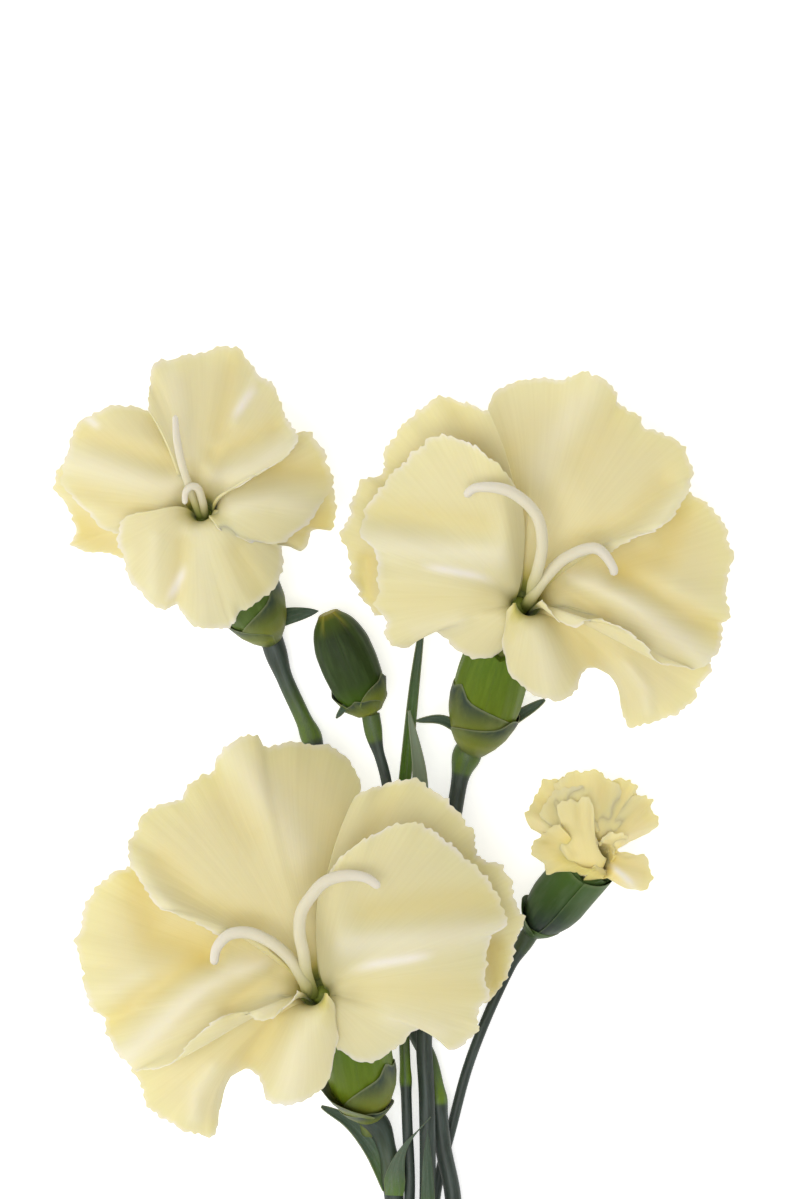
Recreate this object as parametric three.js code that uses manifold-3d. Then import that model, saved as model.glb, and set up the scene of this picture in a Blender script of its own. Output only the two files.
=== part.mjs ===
// A cut spray carnation with single flowers, lying on a flat surface.
// Millimetres. X is to the right and Y up the spray as it is looked down on, Z is up.
import * as THREE from "three";
import { mergeVertices } from "three/addons/utils/BufferGeometryUtils.js";
import Module from "manifold-3d";

const wasm = await Module();
wasm.setup();

// ---------------------------------------------------------------- driving dimensions

const PETAL_THICKNESS = 0.9;
const LEAF_THICKNESS = 0.8;
const CLAWS = { radius: 3.7, bore: 2.2 }; // the tube that the petals' narrow claws form
const HALF_OPEN_CLAWS = { radius: 2.7, bore: 1.3 };
const THROAT_RISE = 3; // how far the petals run up along the flower's axis before they spread
const ROOT_DEPTH = 1.2; // how far a petal's foot is sunk into the tube of claws
const SMALLEST_TURN = 0.04; // between one point of a margin and the next, radians
const NECK_SPREAD = 1.4; // how far a petal has come out where it leaves the throat
const FAN = 0.68; // a petal's foot spans this share of the angle that its margin spans
const TOOTH = 0.5; // the margin's teeth stand in and out by this much
const STYLE_RADIUS = 0.8;
const OVARY_RADIUS = 1.6;
const STEM_SIDES = 6;
const CALYX_TEETH = 5;
const CALYX_WALL = 1.1;
const SOCKET_DEPTH = 5;
const SEAT_GAP = 0.4; // between the tube of claws and the calyx round it
const SLIVER = 0.03; // edges shorter than this are closed up where pieces are joined
const FLAT_SPOT = 0.15; // stems and calyces that lie on the surface are flat by this much

const CREAM = { color: 0xe4dcaf, roughness: 0.62, metalness: 0 };
const IVORY = { color: 0xe2dacd, roughness: 0.55, metalness: 0 };
const GREEN = { color: 0x4b6444, roughness: 0.6, metalness: 0 };

// Lobes of the big flower. Each rib runs from the throat to a point of the margin:
// [x, y, z, arch], millimetres from the middle of the throat, where arch is how far the
// middle of the rib stands up. bow moves the middles of the first and last rib sideways.
const NO_BOW = [[0, 0], [0, 0]];
const BIG_LOBES = {
  upper: {
    bow: [[0, 1], [-3, 0]],
    ribs: [
      [-14.7, 7.5, 4, 2], [-18.1, 9.7, 5, 2.5], [-21.6, 11.1, 5, 3], [-24.7, 12.7, 4, 4],
      [-26.4, 15, 3, 4], [-28.9, 19.1, 1, 5], [-28.8, 22.8, -1, 5], [-25.9, 27.5, -3, 6],
      [-20.9, 29.2, -2, 4.5], [-19.7, 31.6, -4, 5], [-16.3, 33.1, -3, 5.5], [-15.8, 35.5, -5, 5],
      [-10, 39.1, -5, 5], [-7.7, 37.3, -8, 5.5], [-4.1, 37.8, -10, 7], [1.6, 37.2, -12, 7],
      [4.7, 35.5, -13, 6], [6.6, 32.7, -13, 5], [7, 30.3, -13, 4],
    ],
  },
  back: {
    bow: [[-4, 0], [0, -1]],
    ribs: [
      [6.3, 29.8, -3, 3], [10.8, 31.4, -4, 3], [14.7, 32.2, -5, 3], [17.8, 30.8, -6, 3],
      [20.5, 28.8, -6, 3], [24.8, 23.3, -8, 2], [25.2, 19.8, -11, 0], [28.8, 18.9, -10, 0],
      [30.2, 16.6, -10, 0], [31.6, 11.6, -11, 0], [32.8, 10, -11, 0], [31.3, 7.2, -12, 0],
      [30.3, 2.2, -12, 0], [26.7, -3, -13, 0],
    ],
  },
  front: {
    bow: [[-1, 0], [0, 0]],
    ribs: [
      [2.2, 18.1, 7, 1], [4.5, 20.6, 8, 2], [8.4, 23.3, 8, 3], [13.1, 25.3, 6, 4],
      [16.3, 25.3, 5, 5], [19.4, 23.3, 3, 5], [25.6, 17.8, -2, 3.5], [28, 14.8, -4, 3],
      [29.7, 10, -4, 6], [27.2, 7.3, -2, 6.5], [26.4, 1.4, -1, 7], [26.9, -1.7, -3, 6],
      [25, -4.8, -4, 6], [25.3, -7.5, -7, 5], [21.1, -10, -8, 4], [18.8, -7.5, -5, 6],
      [17.3, -6.6, -4, 6], [14.7, -7.7, -4, 5], [11.9, -10.3, -5, 5], [8.4, -12, -5, 6],
      [3.3, -10.5, -4, 5],
    ],
  },
  left: {
    ribs: [
      [-22, 17, -5, 1], [-28.9, 18.6, -5, 1], [-32.2, 17, -5, 2], [-35.8, 13.1, -6, 3],
      [-36.7, 9.2, -6, 4], [-37.3, 6.6, -6, 5], [-35.9, -0.2, -5, 6.5], [-35.3, -3.6, -4, 6],
      [-33.3, -4.8, -5, 5], [-32.3, -8, -4, 4], [-28.9, -12.7, -2, 5.5], [-25.2, -12.8, 2, 5],
      [-21.6, -11.4, 4, 4], [-19.4, -8.4, 6, 3], [-14.2, -4.5, 6.5, 3], [-10.8, -4.2, 6, 2.5],
      [-8.8, -5.3, 5, 2], [-5, -3.1, 4, 1.5],
    ],
  },
  bottom: {
    bow: [[0, 0], [1, 0]],
    ribs: [
      [-26, -10, -8, 2], [-27.5, -15.3, -9, 3], [-25.9, -19.4, -11, 4], [-20.8, -23, -13, 5],
      [-16.1, -23.9, -14, 5], [-14.7, -17.3, -10, 5], [-13.1, -14.4, -6, 5], [-10.9, -13, -4, 5],
      [-9.1, -14.2, -4, 5], [-7.8, -16.9, -6, 5], [-6.4, -18.6, -7, 5], [-2.8, -18.4, -7, 5],
      [0.3, -16.9, -6, 4], [3, -11.1, -3, 3], [3.4, -8, -1, 2], [2.7, -2.8, 1, 1],
    ],
  },
};

// The second big flower mirrors the first, smaller, with each lobe a little wider, and taller
// above the throat and below it, by these factors.
const MIRROR_SCALE = 0.88;
const MIRRORED_LOBES = {
  upper: { wide: 1.02, above: 1.03, below: 1 },
  back: { wide: 1, above: 1.1, below: 1.1 },
  front: { wide: 0.98, above: 1.12, below: 0.92 },
  left: { wide: 1.06, above: 0.99, below: 0.98 },
  bottom: { wide: 1.15, above: 1, below: 0.97 },
};

const SMALL_LOBES = {
  back_left: {
    ribs: [
      [-19.5, 9, -15, 0], [-22.8, 3.4, -17, 0], [-20.8, 0.2, -18, 0], [-19.2, -4.5, -20, 1],
      [-20.2, -6.3, -20.5, 1], [-15.6, -7.2, -20, 1], [-11.9, -8.1, -19, 1], [-6, -9, -17, 0],
    ],
  },
  top: {
    bow: [[1.5, 0], [0, 1]],
    ribs: [
      [-7.7, 15, -3, 3], [-7.3, 20.9, -8, 4], [-6.6, 22.5, -9, 4], [-1.9, 23.4, -10, 5],
      [3.8, 25, -11, 5], [6.6, 24.4, -10, 5], [9.4, 20.6, -10, 3], [11.3, 19.7, -8, 5],
      [14.1, 13.4, -4, 4], [15.5, 11.4, -1, 3], [14.7, 8.4, 2, 2.5], [12, 6.3, 3, 2],
      [5.9, 2.5, 3, 1],
    ],
  },
  left: {
    bow: [[0, 1], [0, 0]],
    ribs: [
      [-5, 13.5, -7, 3], [-9.8, 15.5, -7, 4], [-15.6, 15, -8, 5], [-19.1, 12.2, -9, 5],
      [-21.1, 5.6, -9, 5], [-21.3, 3.8, -8, 4.5], [-19.2, 0.9, -6, 4], [-16.9, -1.4, -5, 4],
      [-13.4, -4.2, -5, 4], [-10, -4.5, -6, 3],
    ],
  },
  bottom: {
    ribs: [
      [-9.8, -1.1, 3, 1.5], [-11.9, -2.6, 2, 3], [-12.2, -6.1, 0, 4], [-10.3, -11.6, -4, 6],
      [-6.9, -15.5, -7, 6], [-5, -16.4, -8, 6], [-3.3, -15.3, -6, 7], [-1.7, -17.8, -9, 6],
      [4.7, -19.4, -11, 6], [6.6, -16.6, -7, 6], [11.6, -13.4, -5, 6], [13.4, -8.8, -5, 4],
      [13.3, -6.4, -4, 2],
    ],
  },
  right: {
    ribs: [
      [13, 10.5, -7, 1], [17.2, 11.6, -6, 2], [20.3, 7.2, -6, 4], [21.1, 4.1, -6, 5],
      [21.4, 0.9, -7, 6], [21.3, -3.8, -12, 8], [17.5, -6.1, -12, 8], [13.9, -6.3, -7, 5],
      [10, -6, -1, 3], [6.6, -5.1, 2, 1], [4.4, -3.6, 3, 1],
    ],
  },
};

const HALF_OPEN_LOBES = {
  left: {
    ribs: [
      [-3, -1.5, 1, 1], [-6.4, -0.5, -1, 2], [-8.2, 2.4, -2, 3], [-7.5, 4.4, -2, 3],
      [-4.5, 6.5, 0, 3],
    ],
  },
  upper_left: {
    ribs: [
      [-5.5, 4.5, -5, 1], [-8.2, 6.3, -6, 1], [-8.7, 9.2, -6, 1], [-7, 12, -7, 1],
      [-4.5, 14.2, -7, 1],
    ],
  },
  top: {
    ribs: [
      [-5.5, 13, -2, 1], [-4, 14.3, -1, 1], [-0.8, 15.3, 0, 1], [2.2, 15.3, -1, 1],
      [4.2, 14.2, -1, 1],
    ],
  },
  upper_right: {
    ribs: [
      [3.8, 14, -6, 1], [8.4, 12.5, -6, 1], [11, 10.6, -7, 1], [11.7, 7, -7, 1],
      [9, 5.4, -6, 1],
    ],
  },
  right: {
    ribs: [
      [3, 7.5, 0, 1], [6.5, 8.5, 0, 2], [9.2, 6, -1, 2], [7.3, 3.7, -1, 2], [4.4, 2.6, 0, 1],
    ],
  },
  low_right: {
    ribs: [
      [5, 2.4, -3, 1], [9.5, 1.6, -4, 2], [11, -0.5, -5, 2], [10.2, -3.2, -6, 2],
      [5.5, -3, -5, 2], [3.6, -1, -3, 1],
    ],
  },
  middle: {
    ribs: [
      [-4, 7.5, 3, 1], [-2.5, 10.5, 4, 1], [0.8, 11.5, 5, 1], [3.4, 10, 4, 1], [3.2, 6.5, 4, 1],
    ],
  },
};

// A flower: the middle of its throat, its calyx from foot to mouth, its lobes and its styles.
const FLOWERS = {
  a: {
    throat: [-31.6, 14.6, 23],
    calyx: { foot: [-20.2, -6, 3], mouth: [-27.6, 7.4, 16], radius: 5.3 },
    claws: CLAWS,
    lobes: SMALL_LOBES,
    across: 10,
    styles: [
      [[0.8, 0.9, 1.5], [0, 2.8, 4], [-0.9, 3, 4.6], [-1.7, 2.2, 4.4], [-1.9, 0.2, 3.4]],
      [[-1.3, 3.3, 3.4], [-2.3, 6.4, 5], [-3.1, 10.3, 4.8], [-3.4, 14.1, 3.6]],
    ],
  },
  b: {
    throat: [19.4, 0.4, 25.5],
    calyx: { foot: [12.4, -23.2, 3.5], mouth: [14.3, -7.8, 14.3], radius: 5.3 },
    claws: CLAWS,
    lobes: mirrored(BIG_LOBES),
    across: 11,
    styles: [
      [[0.9, 2, 3.4], [2, 4.2, 6.6], [2.7, 8.5, 8.6], [1.7, 12.8, 9.4], [-2.5, 16.4, 10],
        [-7.7, 16.9, 9.6], [-9.4, 15.6, 8.8]],
      [[1, 0.8, 2.4], [3, 3, 5], [6.4, 6.1, 7], [11.1, 7.5, 7.6], [13.6, 4.7, 7.4],
        [13.9, 3.3, 6.6]],
    ],
  },
  c: {
    throat: [-13.1, -60.1, 28],
    calyx: { foot: [-5, -80.6, 7.4], mouth: [-7.2, -67.6, 18], radius: 5.3 },
    claws: CLAWS,
    lobes: BIG_LOBES,
    across: 12,
    styles: [
      [[-1, 2.2, 3.6], [-1.9, 5.3, 7.2], [-2.5, 8.4, 9], [-2.2, 11.6, 10], [-0.6, 14.2, 10.6],
        [1.4, 16.3, 11], [4.5, 17.3, 11], [7.7, 17, 10.8], [10, 15.5, 10]],
      [[-1.2, 0.8, 2.4], [-4, 4.5, 6], [-6.9, 6.9, 7.6], [-10.3, 8.4, 8.2], [-13.4, 8.1, 8.4],
        [-15.3, 6.1, 8], [-15.8, 3.4, 7]],
    ],
  },
  d: {
    throat: [28.6, -42.1, 17.2],
    calyx: { foot: [20.8, -51.6, 5.2], mouth: [25.6, -45.8, 12.4], radius: 4.6 },
    claws: HALF_OPEN_CLAWS,
    lobes: HALF_OPEN_LOBES,
    across: 5,
    styles: [],
  },
};

// Stems, from the flower down to the joint with the main stem, as points of the centre line.
const STEMS = {
  main: {
    radius: 1.5,
    path: [[-5, -80.6, 7.4], [-3.1, -83, 5.8], [-1.3, -90, 4.4], [-0.8, -96, 4], [0, -112, 3.2],
      [0.6, -132, 2.5], [0.8, -160, 1.9], [0.6, -190, 1.35], [0.4, -214, 1.35]],
  },
  a: {
    radius: 1.3,
    path: [[-20.2, -6, 3], [-18.3, -11.8, 2.6], [-15.4, -18.2, 2.4], [-13.9, -21.6, 2.3],
      [-9.4, -36, 2.2], [-3.9, -51.6, 2.4], [2.5, -68, 3], [4.5, -72, 3.2], [5.8, -77.7, 3.5],
      [6.8, -86, 3.7], [8.3, -93.7, 3.4], [8.4, -104, 3], [7, -122, 2.6], [4.2, -146, 2.2],
      [1, -166, 1.9]],
  },
  b: {
    radius: 1.15,
    path: [[12.6, -23, 3.5], [10, -26, 3.4], [8.8, -29.8, 3.5], [7, -43.8, 4.4], [5.3, -56.3, 5.4],
      [3.8, -68, 6.2], [4.2, -78.2, 6.2], [4.3, -93.7, 5.6], [3.6, -110, 4.6], [1, -129, 2.8]],
  },
  bud: {
    radius: 0.85,
    path: [[-4.6, -18, 6], [-3.9, -22, 5.4], [-2.2, -28.2, 5.2], [-0.8, -40.7, 5.6],
      [0.2, -54.8, 6], [0.7, -69.6, 6], [1.1, -81.3, 5.4], [1.5, -93.7, 4.8], [0.1, -108, 3.6]],
  },
  d: {
    radius: 0.8,
    path: [[20.8, -51.6, 5.2], [18, -56.3, 4], [13.9, -64.9, 3], [10.6, -73.5, 2.2],
      [8.1, -82.9, 1.2], [6.3, -89.9, 1], [5.6, -93.7, 1], [4.4, -108, 1.2], [2.8, -126, 1.6],
      [0.8, -146, 2.2]],
  },
};

// Swollen joints: place, radius and half length along the stem (Y).
const KNOTS = [
  { at: [-1.2, -90.8, 4.4], radius: 1.9, half: 2 },
  { at: [-14, -21.4, 2.4], radius: 1.7, half: 1.8 },
  { at: [5.8, -78, 3.5], radius: 1.7, half: 2 },
  { at: [4.2, -75, 6.2], radius: 1.4, half: 1.6 },
  { at: [0.9, -74.7, 5.9], radius: 1.1, half: 1.5 },
  { at: [19.2, -54.2, 4.4], radius: 1.2, half: 1.3 },
  { at: [0.1, -109, 3.3], radius: 2.1, half: 2.4 },
  { at: [0.6, -130, 2.5], radius: 2.2, half: 2.4 },
  { at: [0.7, -147, 2.2], radius: 2.2, half: 2.4 },
  { at: [0.8, -168, 1.8], radius: 2.3, half: 2.6 },
];

// Leaves: midrib points, widest half width, and how far the sides fold up from the midrib.
const LEAVES = [
  { half: 1.8, fold: 0.5, rib: [[-0.7, -42, 5.8], [2.2, -35, 6.2], [3, -28, 6.6], [1.4, -17.4, 7]] },
  { half: 0.9, fold: 0.3, rib: [[-0.7, -42, 5.2], [0.8, -28, 4], [2.2, -14, 4.6], [3.6, -3, 5]] },
  { half: 1.3, fold: 0.5, rib: [[-1.2, -93, 6], [-0.6, -89, 6.6], [2, -84.6, 7], [4.8, -81.4, 8]] },
  { half: 1.4, fold: 0.4, rib: [[-2.6, -91, 5], [-4.4, -86, 5.4], [-8, -81.8, 6], [-12.3, -79.4, 7]] },
  { half: 1.1, fold: 0.4, rib: [[5.6, -98, 5], [5.4, -92, 5.4], [5, -87, 5.6], [4.6, -83, 5.8]] },
  { half: 1.6, fold: 0.6, rib: [[1.4, -131, 3], [5, -124, 4.4], [10, -114, 6], [14, -103, 6]] },
  { half: 1.6, fold: 0.6, rib: [[0, -131, 3], [-4, -124, 4.6], [-8, -113, 6.4], [-10, -102, 5]] },
  { half: 2.1, fold: 0.8, rib: [[2, -169, 2.4], [10, -160, 4.5], [19, -146, 7], [26, -130, 7],
    [30, -118, 4]] },
  { half: 2.1, fold: 0.8, rib: [[-0.6, -169, 2.4], [-8, -161, 4.8], [-16, -147, 7.5],
    [-21, -131, 7], [-23, -117, 4]] },
];

// Bracts at the foot of a calyx: how far up it they start and reach, and their half width.
const BRACTS = [
  { start: -1, reach: 9, half: 4, turn: 0 },
  { start: -1, reach: 9, half: 4, turn: 180 },
  { start: -2, reach: 6, half: 4, turn: 90 },
  { start: -2, reach: 6, half: 4, turn: 270 },
];
const LOOSE_TIPS = [
  { half: 1.1, fold: 0.3, rib: [[-19.6, -5, 5], [-17.5, -2.5, 6.4], [-15, -1.6, 7], [-12.8, -1.9, 7.4]] },
  { half: 1.1, fold: 0.3, rib: [[11, -23.6, 5.5], [8.4, -20.6, 6.8], [5.6, -19, 7.4], [2.7, -19, 7.6]] },
  { half: 0.9, fold: 0.3, rib: [[15.4, -20.6, 4.8], [18, -18.6, 5.4], [20.6, -17, 5.8], [22.7, -15.7, 6]] },
];

const BUD = {
  foot: [-4.6, -18, 6],
  tip: [-11.5, -1.6, 9],
  profile: [[0, 0], [1.5, 0.3], [3.3, 2.2], [4.4, 6], [4.5, 9.5], [3.7, 13], [2, 16.4], [0.5, 18], [0, 18]],
};

// ---------------------------------------------------------------- small tools

const vec = ([x, y, z]) => new THREE.Vector3(x, y, z);
const UP = new THREE.Vector3(0, 0, 1);

function mirrored(lobes) {
  const made = {};
  for (const [name, { bow = NO_BOW, ribs }] of Object.entries(lobes)) {
    const { wide, above, below } = MIRRORED_LOBES[name];
    const size = MIRROR_SCALE;
    const place = ([x, y]) => [-size * wide * x, size * (y > 0 ? above : below) * y];
    made[name] = {
      bow: bow.map(place),
      ribs: ribs.map(([x, y, z, arch]) => [...place([x, y]), size * z, size * arch]),
    };
  }
  return made;
}

// A closed geometry as a solid that can be joined and cut.
function solid(geometry) {
  const plain = geometry.clone();
  plain.deleteAttribute("normal");
  plain.deleteAttribute("uv");
  const merged = mergeVertices(plain, 1e-4);
  const triVerts = new Uint32Array(merged.index.array);
  const made = new wasm.Manifold(
    new wasm.Mesh({ numProp: 3, vertProperties: merged.attributes.position.array, triVerts }),
  );
  if (made.volume() > 0) return made;
  for (let i = 0; i < triVerts.length; i += 3) {
    [triVerts[i + 1], triVerts[i + 2]] = [triVerts[i + 2], triVerts[i + 1]];
  }
  return new wasm.Manifold(
    new wasm.Mesh({ numProp: 3, vertProperties: merged.attributes.position.array, triVerts }),
  );
}

// The pieces as one solid, without the slivers that their crossings leave.
function joined(pieces) {
  return pieces.reduce((whole, piece) => whole.add(piece)).simplify(SLIVER);
}

function namedMesh(name, made, material) {
  const { vertProperties, triVerts } = made.getMesh();
  const geometry = new THREE.BufferGeometry();
  geometry.setAttribute("position", new THREE.BufferAttribute(vertProperties, 3));
  geometry.setIndex(new THREE.BufferAttribute(triVerts, 1));
  geometry.computeVertexNormals();
  const mesh = new THREE.Mesh(geometry, new THREE.MeshStandardMaterial(material));
  mesh.name = name;
  return mesh;
}

function roundSection(radius, sides) {
  const section = new THREE.Shape();
  for (let i = 0; i < sides; i++) {
    const angle = (2 * Math.PI * (i + 0.5)) / sides;
    const point = [radius * Math.cos(angle), radius * Math.sin(angle)];
    if (i === 0) section.moveTo(...point);
    else section.lineTo(...point);
  }
  section.closePath();
  return section;
}

// A round bar, or a tube where a bore is given, along a smooth curve through the points.
function bar(points, radius, sides, steps, bore = 0) {
  const section = roundSection(radius, sides);
  if (bore) section.holes.push(roundSection(bore, sides));
  const extrudePath = new THREE.CatmullRomCurve3(points);
  return solid(new THREE.ExtrudeGeometry(section, { steps, extrudePath, curveSegments: 1 }));
}

// Turns a shape made along +Y so that it runs from one point towards another.
function stood(geometry, foot, head) {
  const direction = head.clone().sub(foot).normalize();
  const turn = new THREE.Quaternion().setFromUnitVectors(new THREE.Vector3(0, 1, 0), direction);
  return geometry.applyQuaternion(turn).translate(foot.x, foot.y, foot.z);
}

// A sheet given as rows of points, made solid by a drop straight down the given way. Both faces
// are split into triangles alike.
function sheet(rows, drop) {
  const [m, n] = [rows.length, rows[0].length];
  const positions = [];
  for (const shift of [new THREE.Vector3(), drop]) {
    for (const row of rows) {
      for (const point of row) positions.push(...point.clone().add(shift).toArray());
    }
  }
  const top = (i, j) => i * n + j;
  const low = (i, j) => m * n + i * n + j;
  const index = [];
  const square = (a, b, c, d) => index.push(a, b, c, a, c, d);
  for (let i = 0; i + 1 < m; i++) {
    for (let j = 0; j + 1 < n; j++) {
      square(top(i, j), top(i, j + 1), top(i + 1, j + 1), top(i + 1, j));
      index.push(low(i, j), low(i + 1, j + 1), low(i, j + 1));
      index.push(low(i, j), low(i + 1, j), low(i + 1, j + 1));
    }
    square(top(i, 0), top(i + 1, 0), low(i + 1, 0), low(i, 0));
    square(top(i + 1, n - 1), top(i, n - 1), low(i, n - 1), low(i + 1, n - 1));
  }
  for (let j = 0; j + 1 < n; j++) {
    square(top(0, j + 1), top(0, j), low(0, j), low(0, j + 1));
    square(top(m - 1, j), top(m - 1, j + 1), low(m - 1, j + 1), low(m - 1, j));
  }
  const geometry = new THREE.BufferGeometry();
  geometry.setAttribute("position", new THREE.Float32BufferAttribute(positions, 3));
  geometry.setIndex(index);
  return solid(geometry);
}

// ---------------------------------------------------------------- petals

// The value at a place along a list, straight between neighbours.
function between(values, place) {
  const i = Math.min(Math.floor(place), values.length - 2);
  return THREE.MathUtils.lerp(values[i], values[i + 1], place - i);
}

// The directions round a flower's axis that its petals' places are measured by.
function flowerFrame(flower) {
  const axis = clawAxis(flower);
  const right = new THREE.Vector3().crossVectors(new THREE.Vector3(0, 1, 0), axis).normalize();
  return { axis, right, away: new THREE.Vector3().crossVectors(axis, right) };
}

// Points of the margin as angle round the axis, reach from it and height along it. Each lies
// further round than the last: where a lobe hangs over its neighbour there is a notch instead,
// and the sheet never crosses itself.
function margin(lobe, { axis, right, away }, across) {
  const curve = new THREE.CatmullRomCurve3(lobe.ribs.map(vec), false, "centripetal");
  const points = [];
  for (let i = 0; i <= across; i++) {
    const point = curve.getPoint(i / across);
    const [u, v] = [point.dot(right), point.dot(away)];
    const tooth = i > 0 && i < across ? (i % 2 ? TOOTH : -TOOTH) : 0;
    let angle = Math.atan2(v, u);
    if (i > 0) {
      const last = points[i - 1].angle;
      angle += 2 * Math.PI * Math.round((last - angle) / (2 * Math.PI));
    }
    points.push({ angle, reach: Math.hypot(u, v) + tooth, height: point.dot(axis) });
  }
  const way = Math.sign(points.at(-1).angle - points[0].angle);
  for (let i = 1; i <= across; i++) {
    const least = way * points[i - 1].angle + SMALLEST_TURN;
    points[i].angle = way * Math.max(way * points[i].angle, least);
  }
  return points;
}

function petal(flower, lobe, frame, across, along) {
  const { axis, right, away } = frame;
  const edge = margin(lobe, frame, across);
  const middle = (edge[0].angle + edge.at(-1).angle) / 2;
  const arches = lobe.ribs.map((rib) => rib[3]);
  const ringRadius = (flower.claws.radius + flower.claws.bore) / 2;
  const outwardAt = (angle) =>
    right.clone().multiplyScalar(Math.cos(angle)).addScaledVector(away, Math.sin(angle));
  const rows = edge.map(({ angle, reach, height }, i) => {
    const tip = outwardAt(angle).multiplyScalar(reach).addScaledVector(axis, height);
    const outward = outwardAt(middle + FAN * (angle - middle));
    const foot = outward.clone().multiplyScalar(ringRadius);
    foot.addScaledVector(axis, -THROAT_RISE - ROOT_DEPTH);
    const neck = foot.clone().addScaledVector(axis, THROAT_RISE + ROOT_DEPTH);
    neck.addScaledVector(outward, NECK_SPREAD);
    const share = i / (edge.length - 1);
    const [start, end] = lobe.bow ?? NO_BOW;
    const swell = foot.clone().lerp(tip, 0.62);
    swell.x += THREE.MathUtils.lerp(start[0], end[0], share);
    swell.y += THREE.MathUtils.lerp(start[1], end[1], share);
    swell.z += 1.5 * between(arches, share * (arches.length - 1));
    const rib = new THREE.CubicBezierCurve3(foot, neck, swell, tip);
    const row = [];
    for (let j = 0; j <= along; j++) row.push(rib.getPoint(j / along).add(vec(flower.throat)));
    return row;
  });
  return sheet(rows, axis.clone().multiplyScalar(-PETAL_THICKNESS));
}

function clawAxis(flower) {
  const mouth = vec(flower.calyx.mouth);
  return vec(flower.throat).sub(mouth).normalize();
}

// The tube of claws, from its seat in the calyx up to the throat.
function clawTube(flower) {
  const axis = clawAxis(flower);
  const calyxAxis = vec(flower.calyx.mouth).sub(vec(flower.calyx.foot)).normalize();
  const mouth = vec(flower.calyx.mouth);
  const seat = mouth.clone().addScaledVector(calyxAxis, SEAT_GAP - SOCKET_DEPTH);
  const clear = mouth.clone().addScaledVector(calyxAxis, 1.5);
  const top = vec(flower.throat).addScaledVector(axis, -THROAT_RISE);
  return bar([seat, mouth, clear, top], flower.claws.radius, 10, 4, flower.claws.bore);
}

function petals(name) {
  const flower = FLOWERS[name];
  const frame = flowerFrame(flower);
  const lobes = Object.values(flower.lobes);
  const blades = lobes.map((lobe) => petal(flower, lobe, frame, flower.across, 4));
  return namedMesh("petals_" + name, joined([clawTube(flower), ...blades]), CREAM);
}

// The ovary in the tube of claws with the curled styles that it carries.
function styles(name) {
  const flower = FLOWERS[name];
  const axis = clawAxis(flower);
  const throat = vec(flower.throat);
  const foot = throat.clone().addScaledVector(axis, -THROAT_RISE - 3);
  const head = throat.clone().addScaledVector(axis, -THROAT_RISE + 0.5);
  const ovary = bar([foot, head], OVARY_RADIUS, 8, 1);
  const arms = flower.styles.map((path, i) => {
    const start = throat.clone().addScaledVector(axis, -THROAT_RISE - 1);
    start.x += i ? -0.4 : 0.4;
    const points = [start, ...path.map((point) => vec(point).add(throat))];
    return bar(points, STYLE_RADIUS, 6, 2 * path.length);
  });
  return namedMesh("styles_" + name, joined([ovary, ...arms]), IVORY);
}

// ---------------------------------------------------------------- green parts

function stem({ path, radius }) {
  return bar(path.map(vec), radius, STEM_SIDES, Math.round(1.4 * path.length));
}

function knot({ at, radius, half }) {
  const ball = new THREE.SphereGeometry(1, 6, 4);
  ball.scale(radius, half, radius);
  return solid(ball.translate(...at));
}

// A calyx with a toothed mouth and a socket that the tube of claws sits in.
function calyx({ calyx: { foot, mouth, radius }, claws }) {
  const length = vec(foot).distanceTo(vec(mouth));
  const socket = claws.radius + SEAT_GAP;
  const outline = [
    [0, -1], [0.45 * radius, -0.6], [0.85 * radius, 1.4], [radius, 0.3 * length],
    [0.98 * radius, 0.7 * length], [socket + CALYX_WALL, length], [socket, length],
    [socket, length - SOCKET_DEPTH], [0, length - SOCKET_DEPTH],
  ];
  const sides = 2 * CALYX_TEETH;
  const cup = new THREE.LatheGeometry(outline.map(([x, y]) => new THREE.Vector2(x, y)), sides);
  const place = cup.attributes.position;
  const rim = outline.length - 4;
  for (let turn = 0; turn <= sides; turn++) {
    for (const ring of [rim, rim + 1]) {
      const i = turn * outline.length + ring;
      place.setY(i, place.getY(i) + (turn % 2 ? -1.2 : 1.2));
    }
  }
  return solid(stood(cup, vec(foot), vec(mouth)));
}

// A leaf: a blade folded along its midrib, widest below the middle, ending in a point.
function leaf({ rib, half, fold }) {
  const curve = new THREE.CatmullRomCurve3(rib.map(vec));
  const steps = 2 * (rib.length - 1);
  const rows = [];
  for (let i = 0; i <= steps; i++) {
    const t = i / steps;
    const centre = curve.getPoint(t);
    const side = curve.getTangent(t).cross(UP).normalize();
    const width = half * Math.max(0.12, Math.min(1, 0.75 + t) * Math.sqrt(1 - t * t));
    const lift = fold * Math.min(1, width / half);
    rows.push([-1, 0, 1].map((across) => {
      const point = centre.clone().addScaledVector(side, across * width);
      point.z += Math.abs(across) * lift;
      return point;
    }));
  }
  return sheet(rows, new THREE.Vector3(0, 0, -LEAF_THICKNESS));
}

// A bract: a pointed scale on the foot of the calyx, a pyramid whose ridge stands a little out.
function bract({ foot, mouth, radius }, { start, reach, half, turn }) {
  const spread = half / radius;
  const widest = start + 0.35 * (reach - start);
  const at = (angle, height, out) => {
    const around = angle + THREE.MathUtils.degToRad(turn);
    return [out * Math.sin(around), height, out * Math.cos(around)];
  };
  const corners = [
    at(0, start, 0.4 * radius), at(spread, widest, 0.98 * radius), at(0, reach, radius + 0.9),
    at(-spread, widest, 0.98 * radius), at(0, widest, radius + 0.8), at(0, widest, 0.5 * radius),
  ];
  const faces = [0, 1, 4, 1, 2, 4, 2, 3, 4, 3, 0, 4, 1, 0, 5, 2, 1, 5, 3, 2, 5, 0, 3, 5];
  const scale = new THREE.BufferGeometry();
  scale.setAttribute("position", new THREE.Float32BufferAttribute(corners.flat(), 3));
  scale.setIndex(faces);
  return solid(stood(scale, vec(foot), vec(mouth)));
}

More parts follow.
